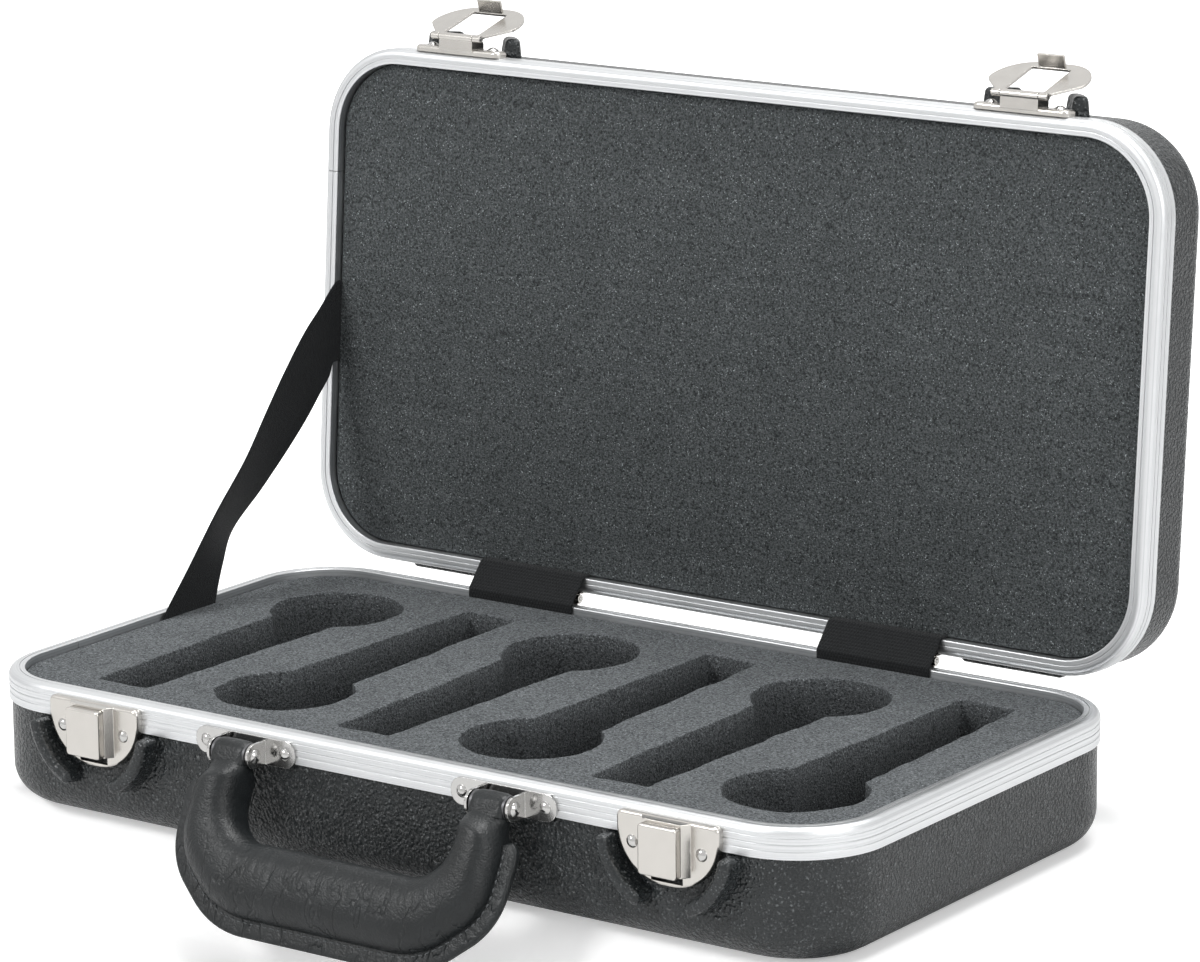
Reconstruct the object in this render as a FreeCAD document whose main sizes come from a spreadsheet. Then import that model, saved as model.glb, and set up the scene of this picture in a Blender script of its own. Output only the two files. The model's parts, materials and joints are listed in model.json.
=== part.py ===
import FreeCAD, Part
import math
import os
import Sketcher

# Microphone case with a hinged lid, shown open. The origin is at the centre of the underside,
# X runs along the case, -Y is the handle side, +Y the hinge side and +Z is up.
# Lid pieces are drawn as if the lid were shut and then turned back about the hinge pins.

# Driving sizes in millimetres, angles in degrees
SIZES = {
    # Case
    "case_length": 420.0,
    "case_depth": 225.0,
    "base_height": 54.6,
    "lid_height": 38.5,
    "corner_radius": 38.0,
    "seat_gap": 0.3,
    "lid_open_angle": 94.4,
    "overrun": 2.0,
    # Moulded shells
    "shell_fit": 0.1,
    "shell_wall": 2.8,
    "base_edge_radius": 15.0,
    "lid_edge_radius": 11.0,
    "mould_root": 1.0,
    # Aluminium frames
    "frame_width": 6.8,
    "base_band_height": 12.0,
    "lid_band_height": 9.6,
    "band_thickness": 1.0,
    "web_thickness": 1.8,
    "lip_thickness": 1.0,
    "lip_height": 7.0,
    "frame_edge_radius": 3.0,
    "lip_edge_radius": 0.5,
    "rim_groove_inset": 4.2,
    "rim_groove_width": 0.5,
    "rim_groove_depth": 0.45,
    "band_groove_width": 0.5,
    "band_groove_depth": 0.25,
    "band_groove_pitch": 2.6,
    "band_groove_start": 3.4,
    "butt_gap": 0.3,
    "base_butt_y": -53.0,
    "lid_butt_y": -56.0,
    # Foam
    "foam_gap": 1.3,
    "foam_floor_gap": 0.3,
    "base_foam_drop": 3.0,
    "lid_foam_drop": 4.0,
    "foam_pad_thickness": 8.0,
    # Microphone pockets
    "first_pocket_from_end": 58.0,
    "last_pocket_from_end": 51.0,
    "head_radius": 28.5,
    "head_offset": 56.0,
    "channel_tail_y": 84.5,
    "channel_neck_y": 34.0,
    "channel_tail_width": 26.5,
    "channel_neck_width": 33.0,
    "channel_tail_radius": 2.0,
    # Guards moulded round the latches
    "latch_from_end": 69.0,
    "base_guard_drop": 9.0,
    "base_guard_inner": 24.8,
    "base_guard_outer": 32.5,
    "base_guard_proud": 8.4,
    "base_guard_first_angle": 8.0,
    "base_guard_last_angle": 68.0,
    "lid_guard_rise": 2.0,
    "lid_guard_inner": 19.6,
    "lid_guard_outer": 28.0,
    "lid_guard_proud": 7.8,
    "lid_guard_first_angle": 24.0,
    "lid_guard_last_angle": 60.0,
    "guard_draft": 1.3,
    "guard_crown_radius": 2.3,
    "guard_end_radius": 2.0,
    # Feet moulded on the back
    "foot_from_end": 68.0,
    "foot_length": 49.0,
    "foot_height": 10.0,
    "foot_proud": 4.4,
    "foot_slope": 2.0,
    "foot_from_rim": 12.4,
    "foot_radius": 2.5,
    # Rivets
    "rivet_gap": 0.1,
    "rivet_tail_height": 1.0,
    "rivet_tail_radius": 1.5,
    "small_rivet_radius": 1.1,
    "small_rivet_head_radius": 2.2,
    "small_rivet_dome_angle": 50.0,
    "large_rivet_radius": 1.2,
    "large_rivet_head_radius": 2.6,
    "large_rivet_dome_angle": 33.0,
    # Hinges on the back
    "hinge_from_end": 120.0,
    "hinge_offset": 2.6,
    "hinge_rise": 1.3,
    "knuckle_radius": 1.75,
    "knuckle_gap": 0.3,
    "hinge_length": 50.0,
    "hinge_pin_radius": 0.75,
    "hinge_pin_gap": 0.05,
    "leaf_thickness": 0.6,
    "leaf_height": 11.0,
    "leaf_clearance": 0.15,
    "leaf_rivet_pitch": 17.0,
    "leaf_rivet_drop": 8.7,
    # Webbing over the hinges
    "webbing_width": 55.0,
    "webbing_thickness": 0.7,
    "webbing_clearance": 0.4,
    "webbing_tuck": 6.0,
    # Stay strap
    "strap_width": 27.0,
    "strap_thickness": 0.7,
    "strap_slot_width": 35.5,
    "strap_base_y": 18.0,
    "strap_lid_y": 10.75,
    "strap_tuck": 6.5,
    # Latch plates
    "latch_width": 46.5,
    "latch_top_drop": 2.2,
    "latch_bottom_drop": 29.0,
    "latch_proud": 3.5,
    "plate_sheet": 1.2,
    "latch_round_radius": 21.5,
    "latch_corner_radius": 2.5,
    "latch_edge_radius": 1.4,
    "latch_rivet_x": 15.8,
    "latch_rivet_drop": 13.8,
    "track_base_width": 22.8,
    "track_top_width": 17.6,
    "track_proud": 6.8,
    "track_top_drop": 2.6,
    "track_bottom_drop": 23.4,
    "track_hollow_width": 12.0,
    "track_hollow_top_drop": 5.0,
    "track_hollow_bottom_drop": 21.4,
    "track_skin": 1.2,
    "track_slot_width": 4.4,
    "track_slot_top_drop": 9.0,
    "track_slot_bottom_drop": 18.0,
    "catch_slot_width": 14.4,
    "catch_slot_top_drop": 23.6,
    "catch_slot_bottom_drop": 27.2,
    # Latch slides
    "slide_gap": 0.2,
    "slide_width": 17.4,
    "slide_height": 3.5,
    "slide_wall": 1.0,
    "slide_top_drop": 3.6,
    "slide_bottom_drop": 23.5,
    "slide_edge_radius": 0.9,
    "slide_corner_radius": 1.5,
    "stem_width": 4.0,
    "stem_top_drop": 11.5,
    "stem_bottom_drop": 16.5,
    "catch_width": 10.0,
    "catch_thickness": 0.8,
    "catch_proud": 1.2,
    "catch_top_drop": 12.0,
    "catch_bottom_drop": 23.7,
    "spring_radius": 1.6,
    "spring_bore": 0.9,
    # Hasp plates on the lid
    "hasp_width": 45.0,
    "hasp_bottom_rise": 0.8,
    "hasp_top_rise": 9.4,
    "hasp_proud": 2.7,
    "hasp_corner_radius": 3.0,
    "hasp_edge_radius": 1.3,
    "hasp_rivet_x": 16.0,
    "hasp_rivet_rise": 6.0,
    "hasp_box_width": 17.6,
    "hasp_box_bottom_rise": 0.4,
    "hasp_box_top_rise": 9.0,
    "hasp_box_proud": 5.9,
    "hasp_box_radius": 1.5,
    "hasp_lug_thickness": 1.6,
    # Hasp flaps
    "flap_axis_proud": 7.4,
    "flap_axis_rise": 1.5,
    "flap_open_angle": 160.0,
    "flap_proud": 7.0,
    "flap_thickness": 1.0,
    "flap_knuckle_radius": 1.5,
    "flap_pin_radius": 0.8,
    "flap_pin_gap": 0.05,
    "flap_knuckle_gap": 0.3,
    "flap_neck_width": 26.0,
    "flap_neck_length": 2.5,
    "flap_width": 44.6,
    "flap_shoulder": 12.0,
    "flap_length": 30.5,
    "flap_shoulder_radius": 5.0,
    "flap_round_radius": 16.0,
    "window_width": 18.4,
    "window_near": 3.2,
    "window_far": 25.5,
    "window_corner_radius": 1.0,
    "tab_width": 12.4,
    "tab_near": 25.7,
    "tab_thickness": 1.0,
    "tab_tip_proud": 1.2,
    # Handle brackets
    "bracket_from_latch": 77.5,
    "bracket_length": 50.0,
    "bracket_height": 11.0,
    "bracket_thickness": 1.2,
    "bracket_drop": 8.6,
    "bracket_rivet_x": 19.8,
    "bracket_corner_radius": 5.0,
    "ear_offset": 9.1,
    "ear_thickness": 1.2,
    "ear_radius": 5.0,
    "pivot_proud": 7.5,
    "pivot_drop": 9.3,
    "pivot_pin_radius": 2.0,
    "pivot_ear_gap": 0.05,
    "pivot_eye_gap": 0.1,
    "pivot_head_radius": 3.0,
    "pivot_head_angle": 35.0,
    # Handle
    "handle_tilt": 27.0,
    "core_thickness": 3.2,
    "core_width": 8.0,
    "core_depth": 48.0,
    "core_bend_radius": 14.0,
    "eye_radius": 5.0,
    "eye_width": 16.6,
    "grip_start": 4.0,
    "grip_end_depth": 9.0,
    "grip_end_width": 17.2,
    "grip_end_radius": 6.0,
    "grip_end_thickness": 13.0,
    "grip_taper_depth": 11.5,
    "grip_thickness": 24.0,
    "grip_edge_radius": 7.5,
    "grip_shoulder_out": 13.5,
    "grip_shoulder_depth": 16.0,
    "grip_shoulder_radius": 16.0,
    "grip_side_out": 12.5,
    "grip_side_depth": 44.0,
    "grip_side_radius": 26.0,
    "grip_bottom_in": 13.5,
    "grip_bottom_depth": 66.0,
    "grip_bottom_radius": 38.0,
    "grip_inner_depth": 33.0,
    "grip_inner_in": 9.5,
    "grip_inner_radius": 17.0,
    "welt_thickness": 3.6,
    "welt_outside": 4.2,
    "welt_inside": 3.0,
    "welt_start": 12.0,
}


class Size:
    """A size with its number and the sheet expression that gives it."""

    def __init__(self, number, text):
        self.number = number
        self.text = text

    def __add__(self, other):
        return Size(self.number + number_of(other), f"({self.text} + {text_of(other)})")

    def __radd__(self, other):
        return Size(number_of(other) + self.number, f"({text_of(other)} + {self.text})")

    def __sub__(self, other):
        return Size(self.number - number_of(other), f"({self.text} - {text_of(other)})")

    def __rsub__(self, other):
        return Size(number_of(other) - self.number, f"({text_of(other)} - {self.text})")

    def __mul__(self, other):
        return Size(self.number * number_of(other), f"({self.text} * {text_of(other)})")

    def __rmul__(self, other):
        return Size(number_of(other) * self.number, f"({text_of(other)} * {self.text})")

    def __truediv__(self, other):
        return Size(self.number / number_of(other), f"({self.text} / {text_of(other)})")

    def __neg__(self):
        return Size(-self.number, f"(0 - {self.text})")


def number_of(value):
    return value.number if isinstance(value, Size) else float(value)


def text_of(value):
    return value.text if isinstance(value, Size) else repr(float(value))


def sine(angle):
    return Size(math.sin(math.radians(angle.number)), f"sin({angle.text} * 1 deg)")


def cosine(angle):
    return Size(math.cos(math.radians(angle.number)), f"cos({angle.text} * 1 deg)")


class Sheet:
    """The sizes by name."""


doc = FreeCAD.newDocument("MicrophoneCase")
cells = doc.addObject("Spreadsheet::Sheet", "Sizes")
size = Sheet()
for row, (alias, value) in enumerate(SIZES.items(), start=1):
    cells.set(f"A{row}", alias)
    cells.set(f"B{row}", str(value))
    cells.setAlias(f"B{row}", alias)
doc.recompute()
for alias in SIZES:
    setattr(size, alias, Size(float(cells.get(alias)), f"Sizes.{alias}"))


# Drawing helpers

def bind(thing, prop, value):
    """Ties a property to its sizes."""
    thing.setExpression(prop, text_of(value))


def plane_of(body, role):
    for feature in body.Origin.OriginFeatures:
        if feature.Role == role:
            return feature


def new_sketch(body, role, offset):
    """A sketch on one of the body's own planes, moved along the plane's normal."""
    sketch = body.newObject("Sketcher::SketchObject", f"{body.Name}_sketch")
    sketch.AttachmentSupport = [(plane_of(body, role), "")]
    sketch.MapMode = "FlatFace"
    bind(sketch, ".AttachmentOffset.Base.z", offset)
    return sketch


def tie_point(sketch, geometry, position, u, v):
    """Holds a point of the sketch at its two distances from the origin."""
    for kind, distance in (("DistanceX", u), ("DistanceY", v)):
        constraint = Sketcher.Constraint(kind, -1, 1, geometry, position, number_of(distance))
        index = sketch.addConstraint(constraint)
        sketch.setExpression(f"Constraints[{index}]", text_of(distance))


def trace(sketch, corners):
    """Draws a closed outline. A corner is (u, v) or, where it is rounded, (u, v, radius)."""
    count = len(corners)
    points = [FreeCAD.Vector(number_of(corner[0]), number_of(corner[1]), 0) for corner in corners]
    arrive, leave, arcs = [], [], []
    for i, corner in enumerate(corners):
        here = points[i]
        back = (points[i - 1] - here).normalize()
        ahead = (points[(i + 1) % count] - here).normalize()
        if len(corner) == 2:
            arrive.append(here)
            leave.append(here)
            arcs.append(None)
            continue
        half = back.getAngle(ahead) / 2
        radius = number_of(corner[2])
        reach = radius / math.tan(half)
        arrive.append(here + back * reach)
        leave.append(here + ahead * reach)
        centre = here + (back + ahead).normalize() * (radius / math.sin(half))
        arcs.append((centre, radius))
    lines = []
    for i in range(count):
        lines.append(sketch.addGeometry(Part.LineSegment(leave[i], arrive[(i + 1) % count]), False))
    for i, corner in enumerate(corners):
        before, after = lines[i - 1], lines[i]
        if arcs[i] is None:
            sketch.addConstraint(Sketcher.Constraint("Coincident", before, 2, after, 1))
            tie_point(sketch, after, 1, corner[0], corner[1])
            continue
        centre, radius = arcs[i]
        first, last = arrive[i] - centre, leave[i] - centre
        start_end = (1, 2)
        if first.cross(last).z < 0:
            first, last = last, first
            start_end = (2, 1)
        circle = Part.Circle(centre, FreeCAD.Vector(0, 0, 1), radius)
        arc = Part.ArcOfCircle(circle, math.atan2(first.y, first.x), math.atan2(last.y, last.x))
        arc = sketch.addGeometry(arc, False)
        vertex = sketch.addGeometry(Part.Point(points[i]), True)
        sketch.addConstraint([
            Sketcher.Constraint("Tangent", before, 2, arc, start_end[0]),
            Sketcher.Constraint("Tangent", arc, start_end[1], after, 1),
            Sketcher.Constraint("PointOnObject", vertex, 1, before),
            Sketcher.Constraint("PointOnObject", vertex, 1, after),
        ])
        tie_point(sketch, vertex, 1, corner[0], corner[1])
        index = sketch.addConstraint(Sketcher.Constraint("Radius", arc, radius))
        sketch.setExpression(f"Constraints[{index}]", text_of(corner[2]))


def ring_corners(length, depth, radius):
    """The four rounded corners of a rectangle about the origin."""
    u, v = length / 2, depth / 2
    return [(-u, -v, radius), (u, -v, radius), (u, v, radius), (-u, v, radius)]


# Levels and faces that several pieces share
parting = size.base_height
lid_rim = size.base_height + size.seat_gap
frame_face = size.case_depth / 2
shell_inset = size.band_thickness + size.shell_fit
cavity_inset = shell_inset + size.shell_wall
foam_inset = size.frame_width + size.foam_gap
hinge_y = frame_face + size.hinge_offset
hinge_z = parting + size.hinge_rise
SIDES = (("left", -1), ("right", 1))
HALF_TURN = 180

# Distances from the middle of the case to its latches, feet, hinges and handle brackets
latch_x = size.case_length / 2 - size.latch_from_end
foot_x = size.case_length / 2 - size.foot_from_end
hinge_x = size.case_length / 2 - size.hinge_from_end
bracket_x = latch_x - size.bracket_from_latch


# Solids drawn as outlines

def new_body(label):
    body = doc.addObject("PartDesign::Body", label)
    body.Label = label
    return body


def ordered(a, b):
    return (a, b) if number_of(a) < number_of(b) else (b, a)


def prism(body, role, a, b, *outlines):
    """Adds the outlines' solid between two offsets from a plane. A second outline is a hole."""
    low, high = ordered(a, b)
    sketch = new_sketch(body, role, low)
    for corners in outlines:
        trace(sketch, corners)
    feature = body.newObject("PartDesign::Pad", f"{body.Name}_pad")
    feature.Profile = sketch
    bind(feature, "Length", high - low)
    body.Tip = feature


def hollow(body, role, a, b, *outlines):
    """Cuts the outlines' solid between two offsets from a plane."""
    low, high = ordered(a, b)
    sketch = new_sketch(body, role, high)
    for corners in outlines:
        trace(sketch, corners)
    feature = body.newObject("PartDesign::Pocket", f"{body.Name}_pocket")
    feature.Profile = sketch
    bind(feature, "Length", high - low)
    body.Tip = feature


def rounded(body, radius, belongs, whole=False):
    """Rounds the edges whose points all pass a test, or the edges that pass as a whole."""
    doc.recompute()
    names = []
    for index, edge in enumerate(body.Shape.Edges, start=1):
        if belongs(edge) if whole else all(belongs(point) for point in edge.discretize(Number=5)):
            names.append(f"Edge{index}")
    sharp = body.Tip
    feature = body.newObject("PartDesign::Fillet", f"{body.Name}_fillet")
    feature.Base = (sharp, names)
    bind(feature, "Radius", radius)
    body.Tip = feature


def level_with(axis, value):
    """A test for points on a plane across one axis."""
    return lambda point: abs(point[axis] - number_of(value)) < 1e-4


def rectangle(u_low, u_high, v_low, v_high, *radius):
    corners = [(u_low, v_low), (u_high, v_low), (u_high, v_high), (u_low, v_high)]
    return [(*corner, *radius) for corner in corners]


def about(centre, width):
    """The two ends of a width about its centre."""
    return centre - width / 2, centre + width / 2


def mirrored(half):
    """An outline from its right half, written from the bottom up, about the line u = 0."""
    left = [(-corner[0], *corner[1:]) for corner in reversed(half)]
    return half + left


def shifted(corners, u, v):
    return [(corner[0] + u, corner[1] + v, *corner[2:]) for corner in corners]


def case_outline(inset):
    """The case's rounded outline seen from above, drawn in by a distance."""
    corner = size.corner_radius - inset
    return ring_corners(size.case_length - inset * 2, size.case_depth - inset * 2, corner)


def inset_at(point):
    """How far a point lies inside the case's outline."""
    corner = size.corner_radius.number
    across = max(abs(point.x) - size.case_length.number / 2 + corner, 0)
    along = max(abs(point.y) - size.case_depth.number / 2 + corner, 0)
    return corner - math.hypot(across, along)


def on_outline(z, inset):
    """A test for points on the case's outline at one height."""
    def test(point):
        return abs(point.z - number_of(z)) < 1e-4 and abs(inset_at(point) - number_of(inset)) < 1e-3
    return test


# Plain solids and their sums

def box(label, x, y, z):
    """A box from three pairs of ends."""
    solid = doc.addObject("Part::Box", label)
    for side, (low, high) in zip(("Length", "Width", "Height"), (x, y, z)):
        bind(solid, side, high - low)
    place(solid, x[0], y[0], z[0])
    return solid


def place(solid, x, y, z):
    for axis, value in (("x", x), ("y", y), ("z", z)):
        bind(solid, f".Placement.Base.{axis}", value)


ALONG_X = FreeCAD.Rotation(FreeCAD.Vector(0, 1, 0), 90)
ALONG_Y = FreeCAD.Rotation(FreeCAD.Vector(1, 0, 0), -90)
AGAINST_Y = FreeCAD.Rotation(FreeCAD.Vector(1, 0, 0), 90)
AGAINST_X = FreeCAD.Rotation(FreeCAD.Vector(0, 1, 0), -90)
UPRIGHT = FreeCAD.Rotation()


def cylinder(label, radius, length, turn, x, y, z):
    """A cylinder that starts at a point and runs the way that its turn gives it."""
    solid = doc.addObject("Part::Cylinder", label)
    bind(solid, "Radius", radius)
    bind(solid, "Height", length)
    solid.Placement = FreeCAD.Placement(FreeCAD.Vector(), turn)
    place(solid, x, y, z)
    return solid


def dome(label, radius, angle, turn, x, y, z):
    """A domed head whose flat side is centred on a point. The angle is the dome's at its edge."""
    solid = doc.addObject("Part::Sphere", label)
    ball = radius / cosine(angle)
    bind(solid, "Radius", ball)
    bind(solid, "Angle1", angle)
    solid.Placement = FreeCAD.Placement(FreeCAD.Vector(), turn)
    sunk = ball * sine(angle)
    way = turn.multVec(FreeCAD.Vector(0, 0, 1))
    place(solid, x - sunk * round(way.x), y - sunk * round(way.y), z - sunk * round(way.z))
    return solid


def fused(label, solids):
    total = doc.addObject("Part::MultiFuse", label)
    total.Shapes = solids
    return total


def grouped(label, solids):
    group = doc.addObject("Part::Compound", label)
    group.Links = solids
    return group


def cut(label, base, tools):
    """The base less the tools."""
    result = doc.addObject("Part::Cut", label)
    result.Base = base
    result.Tool = grouped(f"{label}_tools", tools)
    return result


def rivet(label, x, z, seat, grip_face, kind, back=False):
    """A rivet through the case's front or back wall, from its seat to the wall's inner face.

    Seat and grip face are distances from the middle plane.
    """
    sign, outward, inward = (1, ALONG_Y, AGAINST_Y) if back else (-1, AGAINST_Y, ALONG_Y)
    radius = getattr(size, f"{kind}_rivet_radius")
    head_radius = getattr(size, f"{kind}_rivet_head_radius")
    dome_angle = getattr(size, f"{kind}_rivet_dome_angle")
    tail = grip_face - size.rivet_tail_height
    return fused(label, [
        cylinder(f"{label}_shank", radius, seat - tail, outward, x, tail * sign, z),
        cylinder(f"{label}_tail", size.rivet_tail_radius, size.rivet_tail_height, outward, x, tail * sign, z),
        dome(f"{label}_head", head_radius, dome_angle, outward, x, seat * sign, z),
    ])


def wall_hole(label, x, z, kind, back=False):
    """A rivet's hole through the front or back wall."""
    sign, outward = (1, ALONG_Y) if back else (-1, AGAINST_Y)
    radius = getattr(size, f"{kind}_rivet_radius") + size.rivet_gap
    inner = frame_face - size.frame_width - size.overrun
    length = size.frame_width + size.overrun + size.latch_proud + size.overrun
    return cylinder(label, radius, length, outward, x, inner * sign, z)


# Where the rivets go
latch_rivets = []
bracket_rivets = []
hasp_rivets = []
base_hinge_rivets = []
lid_hinge_rivets = []
for side, sign in SIDES:
    for step in (-1, 1):
        latch_rivets.append((latch_x * sign + size.latch_rivet_x * step, parting - size.latch_rivet_drop))
        bracket_rivets.append((bracket_x * sign + size.bracket_rivet_x * step, parting - size.bracket_drop))
        hasp_rivets.append((latch_x * sign + size.hasp_rivet_x * step, lid_rim + size.hasp_rivet_rise))
    for step in (-1, 0, 1):
        x = hinge_x * sign + size.leaf_rivet_pitch * step
        base_hinge_rivets.append((x, parting - size.leaf_rivet_drop))
        lid_hinge_rivets.append((x, lid_rim + size.leaf_rivet_drop))


def base_wall_holes(label):
    front = latch_rivets + bracket_rivets
    holes = [wall_hole(f"{label}_front_hole_{i}", x, z, "large") for i, (x, z) in enumerate(front)]
    for i, (x, z) in enumerate(base_hinge_rivets):
        holes.append(wall_hole(f"{label}_back_hole_{i}", x, z, "small", back=True))
    return holes


def lid_wall_holes(label):
    holes = [wall_hole(f"{label}_front_hole_{i}", x, z, "large") for i, (x, z) in enumerate(hasp_rivets)]
    for i, (x, z) in enumerate(lid_hinge_rivets):
        holes.append(wall_hole(f"{label}_back_hole_{i}", x, z, "small", back=True))
    return holes


# Moulded shells with their guards and feet

def tub(label, rim, into, height, edge_radius):
    """A moulded tub. Into is 1 where it lies above its rim and -1 where it lies below."""
    body = new_body(label)
    mouth = rim + (size.web_thickness + size.shell_fit) * into
    end = rim + height * into
    inner_end = end - size.shell_wall * into
    prism(body, "XY_Plane", mouth, end, case_outline(shell_inset))
    hollow(body, "XY_Plane", mouth - size.overrun * into, inner_end, case_outline(cavity_inset))
    rounded(body, edge_radius - size.shell_wall, on_outline(inner_end, cavity_inset))
    rounded(body, edge_radius, on_outline(end, shell_inset))
    return body


def guard(label, x, z, inner, outer, proud, first_angle, last_angle, below, sign):
    """A raised arc round a latch, turned about a line along Y."""
    body = new_body(label)
    root = frame_face - shell_inset - size.mould_root
    crown = frame_face + proud
    sketch = new_sketch(body, "XY_Plane", 0)
    trace(sketch, [
        (inner, -root),
        (inner + size.guard_draft, -crown, size.guard_crown_radius),
        (outer - size.guard_draft, -crown, size.guard_crown_radius),
        (outer, -root),
    ])
    feature = body.newObject("PartDesign::Revolution", f"{label}_turn")
    feature.Profile = sketch
    feature.ReferenceAxis = (sketch, ["V_Axis"])
    feature.Midplane = True
    bind(feature, "Angle", last_angle - first_angle)
    body.Tip = feature
    half_angle = math.radians((last_angle - first_angle).number / 2)

    def at_end(point):
        return (point.y < -frame_face.number
                and abs(abs(math.atan2(point.z, point.x)) - half_angle) < 1e-4)

    rounded(body, size.guard_end_radius, at_end)
    middle = (first_angle + last_angle) / 2
    down = middle if below else -middle
    body.Placement = FreeCAD.Placement(FreeCAD.Vector(), FreeCAD.Rotation(FreeCAD.Vector(0, 1, 0), 1))
    bind(body, ".Placement.Rotation.Angle", down if sign > 0 else HALF_TURN - down)
    place(body, x, 0, z)
    return body


def foot(label, x, rim, into):
    """A foot on the back, for the case to stand on."""
    body = new_body(label)
    near = rim + size.foot_from_rim * into
    far = near + size.foot_height * into
    root = frame_face - shell_inset - size.mould_root
    crown = frame_face + size.foot_proud
    slope = size.foot_slope * into
    prism(body, "YZ_Plane", *about(x, size.foot_length), [
        (root, near),
        (crown, near + slope, size.foot_radius),
        (crown, far - slope, size.foot_radius),
        (root, far),
    ])
    rounded(body, size.foot_radius, foot_end(x))
    return body


def foot_end(x):
    """A test for the edges across the foot's crown at its two ends."""
    def test(point):
        at_end = abs(abs(point.x - x.number) - size.foot_length.number / 2) < 1e-4
        return at_end and point.y > frame_face.number
    return test


def base_shell():
    solids = [tub("base_tub", parting, -1, size.base_height, size.base_edge_radius)]
    for side, sign in SIDES:
        for step in (-1, 1):
            solids.append(guard(
                f"base_guard_{side}_{step + 1}", latch_x * sign, parting - size.base_guard_drop,
                size.base_guard_inner, size.base_guard_outer, size.base_guard_proud,
                size.base_guard_first_angle, size.base_guard_last_angle, True, step))
        solids.append(foot(f"base_foot_{side}", foot_x * sign, parting, -1))
    return cut("base_shell", fused("base_moulding", solids), base_wall_holes("base_shell"))


def lid_shell():
    solids = [tub("lid_tub", lid_rim, 1, size.lid_height, size.lid_edge_radius)]
    for side, sign in SIDES:
        for step in (-1, 1):
            solids.append(guard(
                f"lid_guard_{side}_{step + 1}", latch_x * sign, lid_rim + size.lid_guard_rise,
                size.lid_guard_inner, size.lid_guard_outer, size.lid_guard_proud,
                size.lid_guard_first_angle, size.lid_guard_last_angle, False, step))
        solids.append(foot(f"lid_foot_{side}", foot_x * sign, lid_rim, 1))
    return cut("lid_shell", fused("lid_moulding", solids), lid_wall_holes("lid_shell"))


# Aluminium frames

def frame(label, rim, into, band_height, butt_y):
    """A channel bent round the case: outer band, web across the rim and inner lip."""
    body = new_body(f"{label}_channel")

    def ring(low, high, outer, inner):
        outlines = (case_outline(outer), case_outline(inner))
        prism(body, "XY_Plane", rim + low * into, rim + high * into, *outlines)

    def groove(low, high, outer, inner):
        outlines = (case_outline(outer), case_outline(inner))
        hollow(body, "XY_Plane", rim + low * into, rim + high * into, *outlines)

    ring(0, size.web_thickness, 0, size.frame_width)
    ring(0, band_height, 0, size.band_thickness)
    ring(0, size.lip_height, size.frame_width - size.lip_thickness, size.frame_width)
    rounded(body, size.frame_edge_radius, on_outline(rim, 0))
    rounded(body, size.lip_edge_radius, on_outline(rim, size.frame_width))
    groove_inset = size.rim_groove_inset
    groove(-size.overrun, size.rim_groove_depth, groove_inset, groove_inset + size.rim_groove_width)
    for step in range(3):
        near = size.band_groove_start + size.band_groove_pitch * step
        if near.number < band_height.number - size.band_groove_pitch.number:
            groove(near, near + size.band_groove_width, -size.overrun, size.band_groove_depth)
    left = size.case_length / 2
    hollow(body, "XY_Plane", rim - size.overrun * into, rim + (band_height + size.overrun) * into, rectangle(
        -left - size.overrun, -left + size.frame_width + size.overrun, *about(butt_y, size.butt_gap)))
    return body


def base_frame():
    channel = frame("base_frame", parting, -1, size.base_band_height, size.base_butt_y)
    return cut("base_frame", channel, base_wall_holes("base_frame"))


def lid_frame():
    channel = frame("lid_frame", lid_rim, 1, size.lid_band_height, size.lid_butt_y)
    return cut("lid_frame", channel, lid_wall_holes("lid_frame"))


# Foam

def foam_block(label, floor, rim, into, edge_radius):
    """Foam that fills a tub from its floor towards the rim, with its floor edge rounded."""
    body = new_body(label)
    seat = floor + size.foam_floor_gap * into
    prism(body, "XY_Plane", seat, rim, case_outline(foam_inset))
    rounded(body, edge_radius - size.shell_wall - (foam_inset - cavity_inset), on_outline(seat, foam_inset))
    return body


def base_foam_pad():
    body = foam_block("base_foam_pad", size.shell_wall, parting, 1, size.base_edge_radius)
    top = size.shell_wall + size.foam_floor_gap + size.foam_pad_thickness
    hollow(body, "XY_Plane", top, parting + size.overrun, case_outline(0))
    return body


POCKETS = 6


def base_foam():
    """The upper foam, cut through by pockets whose heads alternate back and front."""
    body = new_body("base_foam")
    low = size.shell_wall + size.foam_floor_gap + size.foam_pad_thickness
    high = parting - size.base_foam_drop
    prism(body, "XY_Plane", low, high, case_outline(foam_inset))
    tail, neck = size.channel_tail_width / 2, size.channel_neck_width / 2
    first_x = size.first_pocket_from_end - size.case_length / 2
    last_x = size.case_length / 2 - size.last_pocket_from_end
    for i in range(POCKETS):
        way = 1 if i % 2 == 0 else -1
        x = first_x + (last_x - first_x) * (i / (POCKETS - 1))
        hollow(body, "XY_Plane", low - size.overrun, high + size.overrun, [
            (x - tail, -size.channel_tail_y * way, size.channel_tail_radius),
            (x + tail, -size.channel_tail_y * way, size.channel_tail_radius),
            (x + neck, size.channel_neck_y * way),
            (x + neck, size.head_offset * way),
            (x - neck, size.head_offset * way),
            (x - neck, size.channel_neck_y * way),
        ])
        sketch = new_sketch(body, "XY_Plane", high + size.overrun)
        ring = sketch.addGeometry(Part.Circle(
            FreeCAD.Vector(x.number, size.head_offset.number * way, 0),
            FreeCAD.Vector(0, 0, 1), size.head_radius.number), False)
        tie_point(sketch, ring, 3, x, size.head_offset * way)
        index = sketch.addConstraint(Sketcher.Constraint("Radius", ring, size.head_radius.number))
        sketch.setExpression(f"Constraints[{index}]", size.head_radius.text)
        feature = body.newObject("PartDesign::Pocket", "head_pocket")
        feature.Profile = sketch
        bind(feature, "Length", high - low + size.overrun * 2)
        body.Tip = feature
    return body


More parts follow.
